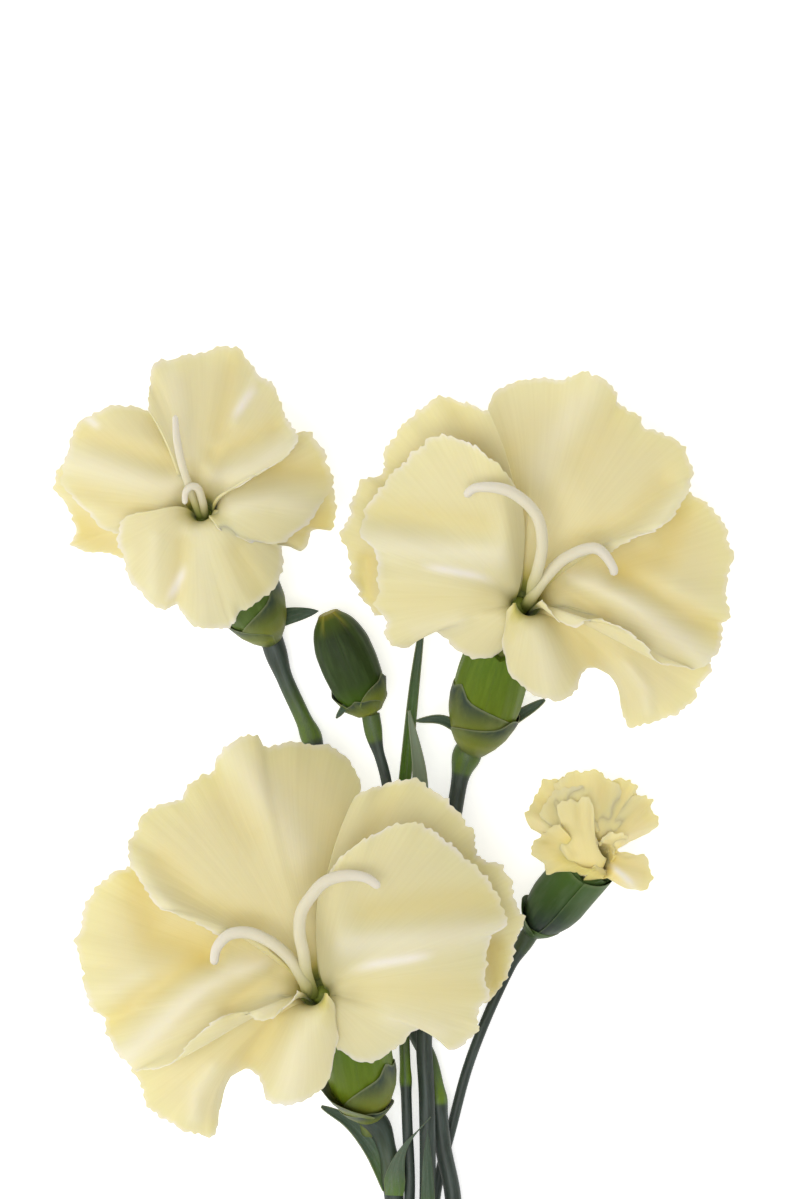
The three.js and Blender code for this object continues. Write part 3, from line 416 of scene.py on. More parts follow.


# A flower: the middle of its throat and the way that it faces, its calyx from foot to mouth, its
# lobes, and its styles as places from the throat. rim is how pale its petals' margins are; the glow
# after it is how strongly a painted warm yellow, standing in for light shining through the petals,
# is laid on them, most at their feet. crisp is how deeply they are frilled, and green how far up
# from its foot a petal is green. wrap says which way round they overlap: 1 where each covers the
# next counterclockwise.
# style_size is how thick its styles are, in STYLE_RADIUS, and style_foot where they start.
# bracts are the scales at the foot of the calyx: how far up it they start and reach, half width,
# where round it they stand (0 above, 90 to the right), how far their tips lean out and how far
# they stand off it (over). fall is how far their corners lie below their tips, and point how far
# the tips' points stand up, both as shares of their reach.
OPEN_FLOWER = {"claws": {"radius": 3.5, "bore": 2.2}, "rim": 0.8, "warmth": 0.0, "crisp": 0.03}
FLOWERS = {
    "a": {
        "throat": [-31.6, 14.6, 23], "axis": [-1.6, 3.4, 8],
        "calyx": {"foot": [-20.2, -6, 3], "mouth": [-27.6, 7.4, 16], "radius": 5.3},
        "bracts": [
            {"start": -1, "reach": 11, "half": 8.6, "turn": 58},
            {"start": -1, "reach": 7.6, "half": 6.4, "turn": -72, "over": 0.15},
            {"start": -2, "reach": 5, "half": 4.6, "turn": 190, "lean": 0.4},
        ],
        **OPEN_FLOWER, "wrap": -1, "green": 1.7, "lobes": SMALL_LOBES,
        "style_size": 0.68, "style_foot": [0.8, -1.6, -3.4],
        "styles": [
            [[0.8, 0.9, 1.5], [0, 2.8, 4], [-0.9, 3, 4.6], [-1.7, 2.2, 4.4], [-1.9, 0.2, 3.4]],
            [[-1.3, 3.3, 3.4], [-2.3, 6.4, 5], [-3.1, 10.3, 4.8], [-3.4, 14.1, 3.6]],
        ],
    },
    "b": {
        "throat": [19.4, 0.4, 25.5], "axis": [2.2, 3.4, 10],
        "calyx": {"foot": [11.4, -23.4, 3.6], "mouth": [15.7, -7.8, 14.3], "radius": 5.6},
        "bracts": [
            {"start": -1, "reach": 11.8, "half": 10, "turn": -54, "fall": 0.3},
            {"start": -1, "reach": 8, "half": 9, "turn": 50, "over": 0.35, "fall": 0.45},
            {"start": -2, "reach": 7, "half": 5, "turn": 180, "lean": 0.4},
        ],
        **OPEN_FLOWER, "wrap": -1, "green": 2.5, "lobes": mirrored(BIG_LOBES),
        "style_size": 1, "style_foot": [0.7, -1.3, -3.6],
        "styles": [
            [[1.3, 2, 3.4], [2, 4.2, 6.6], [2.7, 8.5, 8.6], [1.7, 12.8, 9.4], [-2.5, 16.4, 10],
             [-7.7, 16.9, 9.6], [-9.4, 15.6, 8.8]],
            [[1.6, 0.7, 2.4], [3.2, 3, 5], [6.4, 6.1, 7], [11.1, 7.5, 7.6], [13.6, 4.7, 7.4],
             [13.9, 3.3, 6.6]],
        ],
    },
    "c": {
        "throat": [-13.1, -60.1, 28], "axis": [-2.2, 3.4, 10],
        "calyx": {"foot": [-5, -80.6, 7.4], "mouth": [-7.2, -67.6, 18], "radius": 5.3},
        "bracts": [
            {"start": -1, "reach": 11, "half": 8, "turn": 50, "lean": 0.1},
            {"start": -1, "reach": 7.4, "half": 6, "turn": -66, "lean": 1.2, "over": 0.3},
            {"start": -3.4, "reach": 3.8, "half": 5.4, "turn": 5, "lean": 0.3, "over": 0.5},
            {"start": -2, "reach": 5, "half": 4.6, "turn": 185, "lean": 0.5},
        ],
        **OPEN_FLOWER, "wrap": 1, "green": 2.5, "lobes": BIG_LOBES,
        "style_size": 1.04, "style_foot": [-0.9, -1.3, -3.6],
        "styles": [
            [[-1.5, 2.2, 3.6], [-1.9, 5.3, 7.2], [-2.5, 8.4, 9], [-2.2, 11.6, 10], [-0.6, 14.2, 10.6],
             [1.4, 16.3, 11], [4.5, 17.3, 11], [7.7, 17, 10.8], [10, 15.5, 10]],
            [[-1.8, 0.7, 2.4], [-4.1, 4.5, 6], [-6.9, 6.9, 7.6], [-10.3, 8.4, 8.2],
             [-13.4, 8.1, 8.4], [-15.3, 6.1, 8], [-15.8, 3.4, 7]],
        ],
    },
    "d": {
        "throat": [30.2, -39.6, 18.8], "axis": [0.6, 1, 1.6],
        "calyx": {"foot": [20.8, -51.6, 5.2], "mouth": [28.7, -42, 15.4], "radius": 4.1},
        "bracts": [
            {"start": -1, "reach": 17.4, "half": 5.3, "turn": -62, "fall": 0.02, "point": 0},
            {"start": -1, "reach": 17.8, "half": 5, "turn": 74, "over": 0.25, "fall": 0.02,
             "point": 0},
            {"start": -1, "reach": 15, "half": 5, "turn": 180, "point": 0},
            {"start": -1.6, "reach": 3, "half": 5, "turn": 50, "over": 0.45, "fall": 0.7},
            {"start": -2, "reach": 4, "half": 3.6, "turn": -80, "lean": 1},
        ],
        "claws": {"radius": 2.9, "bore": 2.5}, "rim": 0.15, "warmth": 0.45, "crisp": 0.18,
        "wrap": 1, "green": 1.4, "lobes": HALF_OPEN_LOBES,
    },
}

# Stems, from the flower down to the joint with the main stem, as points of the centre line. Knots
# are their swollen joints: place, radius, half length, and how bright green the stem is above. One
# that is no thicker than its stem only makes it green.
STEMS = {
    "main": {
        "radius": 1.5, "flare": 0.5,
        "path": [[-5, -80.6, 7.4], [-3.1, -83, 5.8], [-1.3, -90, 4.4], [-0.8, -96, 4],
                 [0, -112, 3.2], [0.6, -132, 2.5], [0.8, -160, 1.9], [0.6, -190, 1.5],
                 [0.4, -214, 1.5]],
        "knots": [[[-1.1, -90.6, 4.4], 1.9, 2, 0.2], [[0.1, -109, 3.3], 2.1, 2.4, 0.5],
                  [[0.6, -130, 2.5], 2.2, 2.4, 0.5], [[0.7, -147, 2.2], 2.2, 2.4, 0.5],
                  [[0.8, -168, 1.9], 2.1, 2.6, 0.5]],
    },
    "a": {
        "radius": 1.3, "flare": 0.5,
        "path": [[-20.2, -6, 3], [-18.3, -11.8, 2.6], [-15.4, -18.2, 2.4], [-13.9, -21.6, 2.3],
                 [-9.4, -36, 2.2], [-3.9, -51.6, 2.4], [2.5, -68, 3], [4.5, -72, 3.2],
                 [5.8, -77.7, 3.5], [6.8, -86, 3.7], [8.3, -93.7, 3.4], [8.4, -104, 3],
                 [7, -122, 2.6], [4.2, -146, 2.2], [1, -166, 1.9]],
        "knots": [[[-14, -21.4, 2.4], 1.7, 1.8, 0.8], [[5.8, -78.4, 3.5], 1.55, 1.6, 1]],
    },
    "b": {
        "radius": 1.28, "flare": 0.3,
        "path": [[11.8, -21, 4.6], [10.7, -23.8, 3.9], [9.8, -26.4, 3.5], [8.9, -31, 3.5],
                 [7, -43.8, 4.4], [5.3, -56.3, 5.4], [3.8, -68, 6.2], [4.2, -78.2, 6.2],
                 [4.3, -93.7, 5.6], [3.6, -110, 4.6], [1, -129, 2.8]],
        "knots": [[[10.5, -24.4, 3.8], 2.3, 2.6, 0.45], [[9.8, -26.6, 3.5], 1.28, 1, 0.7]],
    },
    "bud": {
        "radius": 0.85, "flare": 0.6,
        "path": [[-4.6, -18, 6], [-3.9, -22, 5.4], [-2.2, -28.2, 5.2], [-0.8, -40.7, 5.6],
                 [0.2, -54.8, 6], [0.7, -69.6, 6], [1.1, -81.3, 5.4], [1.5, -93.7, 4.8],
                 [0.1, -108, 3.6]],
        "knots": [[[-4.1, -21.4, 5.5], 1.2, 1.6, 0.6], [[0.9, -75.2, 5.8], 1, 1.4, 1]],
    },
    "d": {
        "radius": 0.8, "flare": 0.6,
        "path": [[20.8, -51.6, 5.2], [18, -56.3, 4], [13.9, -64.9, 3], [10.6, -73.5, 2.2],
                 [8.1, -82.9, 1.2], [6.3, -89.9, 1], [5.6, -93.7, 1], [4.4, -108, 1.2],
                 [2.8, -126, 1.6], [0.8, -146, 2.2]],
        "knots": [[[19.2, -54.2, 4.4], 1.2, 1.3, 0.2]],
    },
}

# Leaves: midrib points, widest half width, how far the sides fold up from the midrib, and how
# fast the blade narrows towards its tip. fresh is how far up it is bright green, as a share of its
# length, and pale how pale it is.
LEAVES = [
    {"half": 1.7, "fold": 0.5, "taper": 0.8, "pale": 0.6,
     "rib": [[-0.4, -42, 5.8], [2.4, -35, 6.2], [3.1, -28, 6.6], [1.4, -17.4, 7]]},
    {"half": 0.9, "fold": 0.3, "taper": 0.5, "fresh": 0.42,
     "rib": [[-0.7, -42, 5.2], [0.8, -28, 4], [2.2, -14, 4.6], [3.6, -3, 5]]},
    {"half": 1.9, "fold": -0.5, "taper": 2.2, "pale": 0.12,
     "rib": [[-0.9, -93.4, 6.2], [-0.7, -90, 6.7], [0.6, -86, 7.2], [4.8, -81, 8]]},
    {"half": 1.3, "fold": 0.4, "taper": 0.6,
     "rib": [[-1.7, -92.4, 4.6], [-3.9, -87, 5.4], [-7.8, -82, 6], [-12.3, -79.4, 7]]},
    {"half": 1.2, "fold": -0.5, "taper": 0.9,
     "rib": [[4.4, -100, 6.6], [4.4, -94, 7], [4.3, -88, 7.4], [4.3, -83, 7.6]]},
    {"half": 1.6, "fold": 0.6, "taper": 0.5,
     "rib": [[1.4, -131, 3], [5, -124, 4.4], [10, -114, 6], [14, -103, 6]]},
    {"half": 1.6, "fold": 0.6, "taper": 0.5,
     "rib": [[0, -131, 3], [-4, -124, 4.6], [-8, -113, 6.4], [-10, -102, 5]]},
    {"half": 2.1, "fold": 0.8, "taper": 0.5,
     "rib": [[2, -169, 2.4], [10, -160, 4.5], [19, -146, 7], [26, -130, 7], [30, -118, 4]]},
    {"half": 2.1, "fold": 0.8, "taper": 0.5,
     "rib": [[-0.6, -169, 2.4], [-8, -161, 4.8], [-16, -147, 7.5], [-21, -131, 7],
             [-23, -117, 4]]},
]
LOOSE_TIPS = [
    {"half": 1.5, "fold": -0.4, "taper": 0.7,
     "rib": [[-20.6, -3.6, 4.4], [-18, -2.7, 5.4], [-15.4, -2.2, 6.4], [-12.8, -1.8, 7.2]]},
    {"half": 0.9, "fold": 0.3, "taper": 0.6,
     "rib": [[11.6, -21.8, 4.6], [9.6, -20.4, 5.8], [6.4, -18.8, 7], [2.6, -19, 7.6]]},
    {"half": 0.9, "fold": 0.3, "taper": 0.6,
     "rib": [[15.4, -20.6, 4.8], [18, -18.6, 5.4], [20.6, -17, 5.8], [22.7, -15.7, 6]]},
    {"half": 0.5, "fold": 0.1, "taper": 0.6,
     "rib": [[-8, -16.2, 8], [-8.8, -17, 8.3], [-9.4, -17.8, 8.4], [-10, -18.6, 8.4]]},
    {"half": 0.45, "fold": 0.1, "taper": 0.6,
     "rib": [[-3.6, -15.4, 7.6], [-3.1, -14.2, 8], [-2.8, -13, 8.2], [-2.5, -12, 8.2]]},
]

# The bud: its foot and the place that it points to, its profile as [radius, height over its foot],
# and its bracts.
BUD = {
    "foot": [-4.6, -18, 6],
    "tip": [-11.5, -1.6, 9],
    "profile": [[0, 0], [1.7, 0.3], [3.2, 2], [4.2, 5], [4.5, 8.5], [4.4, 12], [3.7, 14.6],
                [2.7, 16.4], [1.3, 17.5]],
    "bracts": [
        {"start": -1, "reach": 5, "half": 4.6, "turn": 60, "lean": 0.3},
        {"start": -1, "reach": 5, "half": 4.6, "turn": 240, "lean": 0.3},
        {"start": -1.4, "reach": 3, "half": 3.6, "turn": -20, "lean": 0.3},
        {"start": -1.4, "reach": 3, "half": 3.6, "turn": 150, "lean": 0.3},
    ],
}

# The green materials: colours along a value of their points, as (place, red, green, blue), and the
# colour of their veins. value is height unless it is given. grain is how often the veins change
# across a piece and along it. edge is the colour of the margin, and patch a colour that is mixed
# in by the value of that name.
PALE_EDGE = (134, 142, 100)
BRIGHT_CALYX = {"stops": [(0.0, 78, 90, 30), (0.35, 98, 114, 8), (1.0, 84, 110, 20)],
                "vein": (104, 126, 30)}
GREENS = {
    "stem": {"stops": [(0.0, 40, 50, 44), (1.0, 96, 124, 14)], "value": "fresh",
             "vein": (76, 90, 84), "grain": (7, 0.12), "gloss": 0.4},
    "leaf": {"stops": [(0.0, 78, 110, 20), (0.4, 66, 84, 64), (1.0, 64, 78, 66)],
             "vein": (98, 112, 96), "grain": (3, 3), "edge": PALE_EDGE, "patch": (136, 148, 122)},
    "bract": {"stops": [(0.0, 84, 96, 48), (0.35, 124, 130, 36), (0.6, 102, 112, 40),
                        (0.88, 50, 62, 52)],
              "vein": (112, 122, 66), "grain": (3, 2), "edge": PALE_EDGE},
    "dark_bract": {"stops": [(0.0, 36, 46, 42), (0.2, 42, 58, 42), (0.42, 52, 76, 28),
                             (0.85, 64, 92, 26)],
                   "vein": (78, 98, 62), "grain": (3, 2), "edge": (96, 112, 72)},
    "bud": {"stops": [(0.0, 82, 112, 6), (0.12, 66, 96, 6), (0.35, 40, 58, 12),
                      (0.8, 34, 48, 14), (0.95, 70, 84, 20), (1.0, 130, 122, 40)],
            "vein": (64, 84, 36), "grain": (16, 2), "patch": (176, 164, 60)},
    "calyx_a": {"stops": [(0.0, 66, 80, 36), (0.35, 80, 100, 34), (1.0, 70, 98, 40)],
                "vein": (88, 112, 50)},
    "calyx_b": BRIGHT_CALYX,
    "calyx_c": BRIGHT_CALYX,
    "calyx_d": {"stops": [(0.0, 44, 58, 42), (0.5, 56, 78, 30)], "vein": (74, 96, 50)},
    "pith": {"stops": [(0.0, 150, 160, 110), (1.0, 160, 168, 120)], "vein": (180, 186, 150),
             "grain": (6, 2)},
}


# ---------------------------------------------------------------- small tools


def unit(vector):
    return vector / np.linalg.norm(vector)


def units(vectors):
    """Each row of a table of vectors at length one."""
    return vectors / np.linalg.norm(vectors, axis=1, keepdims=True)


def ramp(value, start, end):
    """0 before start, 1 after end, smooth between them."""
    t = np.clip((value - start) / (end - start), 0, 1)
    return t * t * (3 - 2 * t)


def wave(length, wavelength, seed):
    """A wandering wave, about -1 to 1, of roughly that wavelength."""
    stretch = [1, 0.71, 1.37, 0.46]
    phase = np.random.default_rng(seed).uniform(0, 2 * math.pi, len(stretch))
    share = [0.45, 0.3, 0.2, 0.25]
    turns = 2 * math.pi * length / wavelength
    return sum(s * np.sin(turns * f + p) for s, f, p in zip(share, stretch, phase))


def smooth_curve(points, samples):
    """A centripetal Catmull-Rom curve through the points, with even steps from point to point."""
    points = np.asarray(points, float)
    padded = np.vstack([2 * points[0] - points[1], points, 2 * points[-1] - points[-2]])
    knot = np.sqrt(np.linalg.norm(np.diff(padded, axis=0), axis=1))
    index = np.linspace(0, len(points) - 1, samples)
    span = np.minimum(index.astype(int), len(points) - 2)
    t = (index - span)[:, None]
    p0, p1, p2, p3 = (padded[span + k] for k in range(4))
    d0, d1, d2 = (knot[span + k][:, None] for k in range(3))
    out = d1 * ((p1 - p0) / d0 - (p2 - p0) / (d0 + d1) + (p2 - p1) / d1)
    into = d1 * ((p2 - p1) / d1 - (p3 - p1) / (d1 + d2) + (p3 - p2) / d2)
    bend = 3 * (p2 - p1) - 2 * out - into
    return p1 + out * t + bend * t**2 + (2 * (p1 - p2) + out + into) * t**3, index


def lengths_along(path):
    """How far along the path each of its places lies."""
    return np.concatenate([[0], np.cumsum(np.linalg.norm(np.diff(path, axis=0), axis=1))])


def even_curve(points, spacing):
    """The same curve with its places evenly spaced: places, point numbers and lengths."""
    fine, index = smooth_curve(points, 60 * len(points))
    length = lengths_along(fine)
    even = np.linspace(0, length[-1], max(4, round(length[-1] / spacing)))
    places = np.stack([np.interp(even, length, fine[:, k]) for k in range(3)], axis=1)
    return places, np.interp(even, length, index), even


def softened(values, width):
    """Values at even places along a margin, evened out over that width in millimetres."""
    reach = math.ceil(2.5 * width / PETAL_SPACING)
    offsets = PETAL_SPACING * np.arange(-reach, reach + 1)
    weights = np.exp(-0.5 * (offsets / width) ** 2)
    weights /= weights.sum()
    columns = values.reshape(len(values), -1)
    padded = np.pad(columns, [(reach, reach), (0, 0)], mode="reflect", reflect_type="odd")
    smooth = [np.convolve(column, weights, "valid") for column in padded.T]
    return np.stack(smooth, axis=1).reshape(values.shape)


def rounded_off(radii):
    """A profile's radii with its corners rounded off."""
    return np.convolve(np.pad(radii, 2, mode="edge"), np.ones(5) / 5, mode="valid")


def angles_round(sides):
    return 2 * math.pi * np.arange(sides) / sides


def flat_map(across, along):
    """A place on the map for each point of a grid."""
    return np.stack(np.broadcast_arrays(across, along), axis=2).reshape(-1, 2)


def grid_faces(rows, columns, around=False):
    """Quads of a grid of points, closed round its columns where around is set."""
    i, j = np.meshgrid(np.arange(rows - 1), np.arange(columns - (not around)), indexing="ij")
    right = (j + 1) % columns
    corners = [i * columns + j, i * columns + right, (i + 1) * columns + right,
               (i + 1) * columns + j]
    return np.stack([c.ravel() for c in corners], axis=1)


def grid_normals(grid, towards):
    """Unit normals of a grid of points, on the side that the vector points to."""
    normals = np.cross(np.gradient(grid, axis=0), np.gradient(grid, axis=1))
    size = np.linalg.norm(normals, axis=2, keepdims=True)
    normals = normals / np.maximum(size, 1e-9)
    return normals * np.sign((normals @ towards).sum())


def shell(grid, thickness, towards):
    """A grid of points made a closed sheet: points and quads. The grid is its upper face."""
    rows, columns = grid.shape[:2]
    offset = np.broadcast_to(thickness, (rows, columns))[..., None]
    lower = grid - grid_normals(grid, towards) * offset
    count = rows * columns
    top = grid_faces(rows, columns)
    number = np.arange(count).reshape(rows, columns)
    rim = np.concatenate([number[0, :-1], number[:-1, -1], number[-1, :0:-1], number[:0:-1, 0]])
    after = np.roll(rim, -1)
    sides = np.stack([after, rim, rim + count, after + count], axis=1)
    faces = np.concatenate([top, top[:, ::-1] + count, sides])
    if (np.cross(grid[1, 0] - grid[0, 0], grid[0, 1] - grid[0, 0]) @ towards) > 0:
        faces = faces[:, ::-1]
    return np.concatenate([grid.reshape(-1, 3), lower.reshape(-1, 3)]), faces


def tube_ends(rings, sides):
    """The two faces that close a tube."""
    last = (rings - 1) * sides
    return [list(range(sides))[::-1], list(range(last, last + sides))]


class Parts:
    """Points, faces and per-point values of several shells that make one piece."""

    def __init__(self):
        self.points, self.faces, self.maps, self.values = [], [], [], {}
        self.count = 0

    def add(self, points, faces, uv, ends=(), **values):
        """uv is a place on the map for each point. ends are further faces, of any number of
        corners. values are further numbers for each point."""
        for name, value in values.items():
            listed = self.values.setdefault(name, [])
            listed.append((self.count, np.broadcast_to(value, len(points))))
        self.points.append(points)
        self.faces += (faces + self.count).tolist()
        self.faces += [[corner + self.count for corner in end] for end in ends]
        self.maps.append(uv)
        self.count += len(points)

    def piece(self, name, material, slot, *nodes):
        """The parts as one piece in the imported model's frame that stands for those nodes."""
        points = (np.concatenate(self.points) - DRAWN_MIDDLE) * MM
        mesh = bpy.data.meshes.new(name)
        mesh.from_pydata(points.tolist(), [], self.faces)
        corner = np.zeros(len(mesh.loops), np.int32)
        mesh.loops.foreach_get("vertex_index", corner)
        uv = mesh.uv_layers.new(name="UVMap")
        uv.data.foreach_set("uv", np.concatenate(self.maps)[corner].astype(np.float32).ravel())
        for key, listed in self.values.items():
            whole = np.zeros(self.count, np.float32)
            for start, value in listed:
                whole[start:start + len(value)] = value
            mesh.attributes.new(key, "FLOAT", "POINT").data.foreach_set("value", whole)
        mesh.shade_smooth()
        mesh.set_sharp_from_angle(angle=SHARP_ANGLE)
        mesh.materials.append(material)
        made = bpy.data.objects.new(name, mesh)
        bpy.context.scene.collection.objects.link(made)
        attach(made, "root")
        if nodes:
            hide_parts(*nodes)


def tube(path, radii, sides):
    """A round bar along evenly spaced places: points, quads and map."""
    tangents = units(np.gradient(path, axis=0))
    side = unit(np.cross(tangents[0], ASIDE))
    rings = []
    angles = angles_round(sides)
    for place, tangent, radius in zip(path, tangents, radii):
        side = unit(side - tangent * (side @ tangent))
        other = np.cross(tangent, side)
        ring = np.outer(np.cos(angles), side) + np.outer(np.sin(angles), other)
        rings.append(place + radius * ring)
    uv = flat_map(np.arange(sides)[None, :] / sides, lengths_along(path)[:, None])
    return np.concatenate(rings), grid_faces(len(path), sides, around=True), uv


# ---------------------------------------------------------------- petals


def flower_frame(flower):
    """The throat's axis and the two directions across it that its petals are placed by."""
    axis = unit(flower["axis"])
    right = unit(np.cross([0, 1, 0], axis))
    return axis, right, np.cross(axis, right)


def petal_ribs(flower, lobe, tips, index, frame_of_flower):
    """The petal's smooth form: a row of places, from foot to margin, for each tip."""
    axis, right, away = frame_of_flower
    ribs = rib_table(lobe)
    turn = np.unwrap(np.arctan2(tips @ away, tips @ right))
    turn = np.maximum.accumulate(np.abs(turn - turn[0]))
    first, last = np.radians(lobe["foot"])
    fan = softened(first + (last - first) * turn / turn[-1], FAN_SMOOTHING)
    outward = np.outer(np.cos(fan), right) + np.outer(np.sin(fan), away)
    ring = flower["claws"]["bore"] - lobe.get("close", 0)
    ring = ring - flower["wrap"] * WRAP * (fan - fan.mean()) / abs(last - first)
    foot = ring[:, None] * outward - (THROAT_RISE + ROOT_DEPTH) * axis
    share = index / (len(ribs) - 1)
    necks = lobe.get("necks", [NECK_RISE])
    rise = softened(np.interp(share, np.linspace(0, 1, len(necks)), necks), NECK_SMOOTHING)
    neck = foot + np.outer(THROAT_RISE + ROOT_DEPTH + rise, axis) + NECK_SPREAD * outward
    smoothing = lobe.get("smoothing", INNER_SMOOTHING)
    swell = foot + SWELL_PLACE * (softened(tips, smoothing) - foot)
    start, end = lobe.get("bow", NO_BOW)
    for k in (0, 1):
        swell[:, k] += (1 - share) * start[k] + share * end[k]
    arch, sway = (np.interp(index, np.arange(len(ribs)), ribs[:, k]) for k in (3, 4))
    swell[:, 0] += softened(sway, SWAY_SMOOTHING)
    swell[:, 2] += ARCH_PULL * softened(arch, smoothing)
    t = np.linspace(0, 1, PETAL_STEPS + 1)[None, :, None]
    even = softened(tips, BAY_SMOOTHING)
    row = [p[:, None, :] for p in (foot, neck, swell, even)]
    smooth = (row[0] * (1 - t) ** 3 + 3 * row[1] * t * (1 - t) ** 2
              + 3 * row[2] * t**2 * (1 - t) + row[3] * t**3)
    return smooth + (tips - even)[:, None, :] * t**5


def distance_from_path(grid, path):
    """In plan, how far each point lies from a path of straight lines."""
    nearest = np.full(grid.shape[:2], np.inf)
    for start, end in zip(np.array(path, float), np.array(path[1:], float)):
        length = np.linalg.norm(end - start)
        way = (end - start) / length
        run = np.clip((grid[..., :2] - start) @ way, 0, length)
        away = grid[..., :2] - start - run[..., None] * way
        nearest = np.minimum(nearest, np.linalg.norm(away, axis=-1))
    return nearest


def plan_relief(lobe, grid):
    """How far the lobe's ridges and furrows lift each point."""
    lift = np.zeros(grid.shape[:2])
    for rise, width, *path in lobe.get("relief", []):
        lift += rise * np.exp(-((distance_from_path(grid, path) / width) ** 2))
    return lift


def plan_bends(lobe, grid):
    """How far each point is bent down beyond the lobe's bends."""
    drop = np.zeros(grid.shape[:2])
    for slope, softness, start, end in lobe.get("bends", []):
        way = unit(np.subtract(end, start))
        left = (grid[..., :2] - start) @ np.array([-way[1], way[0]])
        drop += slope * softness * np.logaddexp(0, left / softness)
    return drop


def painted_streak_highlights(lobe, grid):
    """How strongly each point shows the lobe's pale streaks, painted highlights along its crests, 0 away
    from them.
    """
    pale = np.zeros(grid.shape[:2])
    for width, *path in lobe.get("streaks", []):
        start, end = np.array(path[0], float), np.array(path[-1], float)
        length = np.linalg.norm(end - start)
        run = (grid[..., :2] - start) @ (end - start) / length
        lasting = ramp(run, -0.5, 0.4 * length) * (1 - ramp(run, 0.7 * length, length + 1))
        near = np.exp(-((distance_from_path(grid, path) / width) ** 2))
        pale = np.maximum(pale, STREAK_HIGHLIGHT_STRENGTH * lasting * near)
    return pale


def petal_waves(kind, length, along, seed):
    """One kind of waves of a petal: how far they lift each of its points."""
    height, wavelength, start, full, growth = kind
    return height * np.outer(wave(length, wavelength, seed), ramp(along, start, full) ** growth)


def petal_ruffles(length, along, seed, crisp):
    """How far each point of a petal stands out from its smooth form: waves along the margin."""
    return (petal_waves(PLEATS, length, along, seed) + petal_waves(RUFFLE, length, along, seed + 1)
            + crisp * petal_waves(FRILL, length, along, seed + 3)
            + petal_waves(CREASES, length, along, seed + 2))


def margin_teeth(length, seed, crisp):
    """How far the margin's teeth reach past its smooth line."""
    small, broad = wave(length, SMALL_TEETH, seed), wave(length, BROAD_TEETH, seed + 1)
    return TEETH * (small + (0.9 - crisp) * broad)


def pale_rim(inset, length, strength, seed):
    """How pale the petal is near its margin. The rim fades here and there."""
    patchy = np.clip(0.7 + 0.5 * wave(length, RIM_PATCHES, seed), 0.25, 1)
    return strength * patchy[:, None] * (1 - ramp(inset, 0, RIM_WIDTH))


def add_petal(parts, flower, lobe, number, seed):
    """A petal with its relief, ruffles and toothed margin, and the values that colour it."""
    frame_of_flower = flower_frame(flower)
    axis = frame_of_flower[0]
    tips, index, length = even_curve(rib_table(lobe)[:, :3], PETAL_SPACING)
    tips[:, 2] = softened(tips[:, 2], MARGIN_SMOOTHING)
    grid = petal_ribs(flower, lobe, tips, index, frame_of_flower)
    along = np.linspace(0, 1, PETAL_STEPS + 1)
    setting_in = ramp(along, *RELIEF_SETS_IN)
    folds = plan_relief(lobe, grid) * setting_in
    pale = painted_streak_highlights(lobe, grid)
    grid[..., 2] += folds - plan_bends(lobe, grid) * setting_in
    relief = petal_ruffles(length, along, seed, flower["crisp"])
    normals = grid_normals(grid, axis)
    last = units(grid[:, -1] - grid[:, -2])
    teeth = margin_teeth(length, seed + 7, flower["crisp"])[:, None] * ramp(along, TEETH_FROM, 1)
    grid = grid + normals * relief[..., None] + last[:, None, :] * teeth[..., None]
    grid = grid + np.array(flower["throat"])
    thinned = ramp(along, THIN_FROM, 1)
    thickness = PETAL_THICKNESS + (RIM_THICKNESS - PETAL_THICKNESS) * thinned
    points, faces = shell(grid, thickness, axis)
    uv = flat_map(length[:, None] / MAP_WIDTH + 3 * number, along)
    reach = np.linalg.norm(grid[:, -1] - grid[:, 0], axis=1)[:, None]
    looks = {
        "base": reach * along / lobe.get("green", flower["green"]),
        "rim": pale_rim(reach * (1 - along), length, flower["rim"], seed + 9),
        # fold is the relief's lift. The material also uses it to paint shade into the furrows and
        # highlights onto the ridges.
        "fold": folds,
        "streak": pale,
        # Painted glow: a warm yellow standing in for light shining through the petals, strongest at their
        # feet.
        "warmth": flower["warmth"] * np.broadcast_to(1.6 - along, folds.shape),
    }
    both_faces = {key: np.tile(look.ravel(), 2) for key, look in looks.items()}
    parts.add(points, faces, np.tile(uv, (2, 1)), **both_faces)


def add_claws(parts, flower):
    """The tube of claws, from its seat in the calyx up to the throat."""
    calyx = flower["calyx"]
    calyx_axis = unit(np.subtract(calyx["mouth"], calyx["foot"]))
    mouth = np.array(calyx["mouth"], float)
    seat = mouth + (SOCKET_GAP - SOCKET_DEPTH) * calyx_axis
    top = np.array(flower["throat"]) - THROAT_RISE * flower_frame(flower)[0]
    path, _, _ = even_curve([seat, mouth, mouth + 1.5 * calyx_axis, top], CLAWS_STEP)
    outer, bore = flower["claws"]["radius"], flower["claws"]["bore"]
    looks = {"base": 0.0, "rim": 0.0, "fold": 0.0, "streak": 0.0, "warmth": 0.0}
    for radius, inward in ((outer, False), (bore, True)):
        radii = np.full(len(path), radius)
        radii[[0, -1]] = outer
        points, faces, uv = tube(path, radii, CLAWS_SIDES)
        if inward:
            faces = faces[:, ::-1]
        parts.add(points, faces, uv * [1, 0], **looks)


def build_petals(name, material):
    """The bloom of that flower: its petals' points, once they are built."""
    flower = FLOWERS[name]
    parts = Parts()
    add_claws(parts, flower)
    for number, lobe in enumerate(flower["lobes"].values()):
        add_petal(parts, flower, lobe, number, 100 * ord(name) + 10 * number)
    parts.piece("bloom_" + name, material, "petal", "petals_" + name)
    return np.concatenate(parts.points)


# ---------------------------------------------------------------- styles


def laid_on(places, below):
    """The places lifted so that they lie on the points below them."""
    tops = []
    for place in places:
        near = np.hypot(*(below[:, :2] - place[:2]).T) < 0.8 * STYLE_RADIUS
        tops.append(below[near, 2].max(initial=-math.inf))
    return np.array(tops) + STYLE_RADIUS


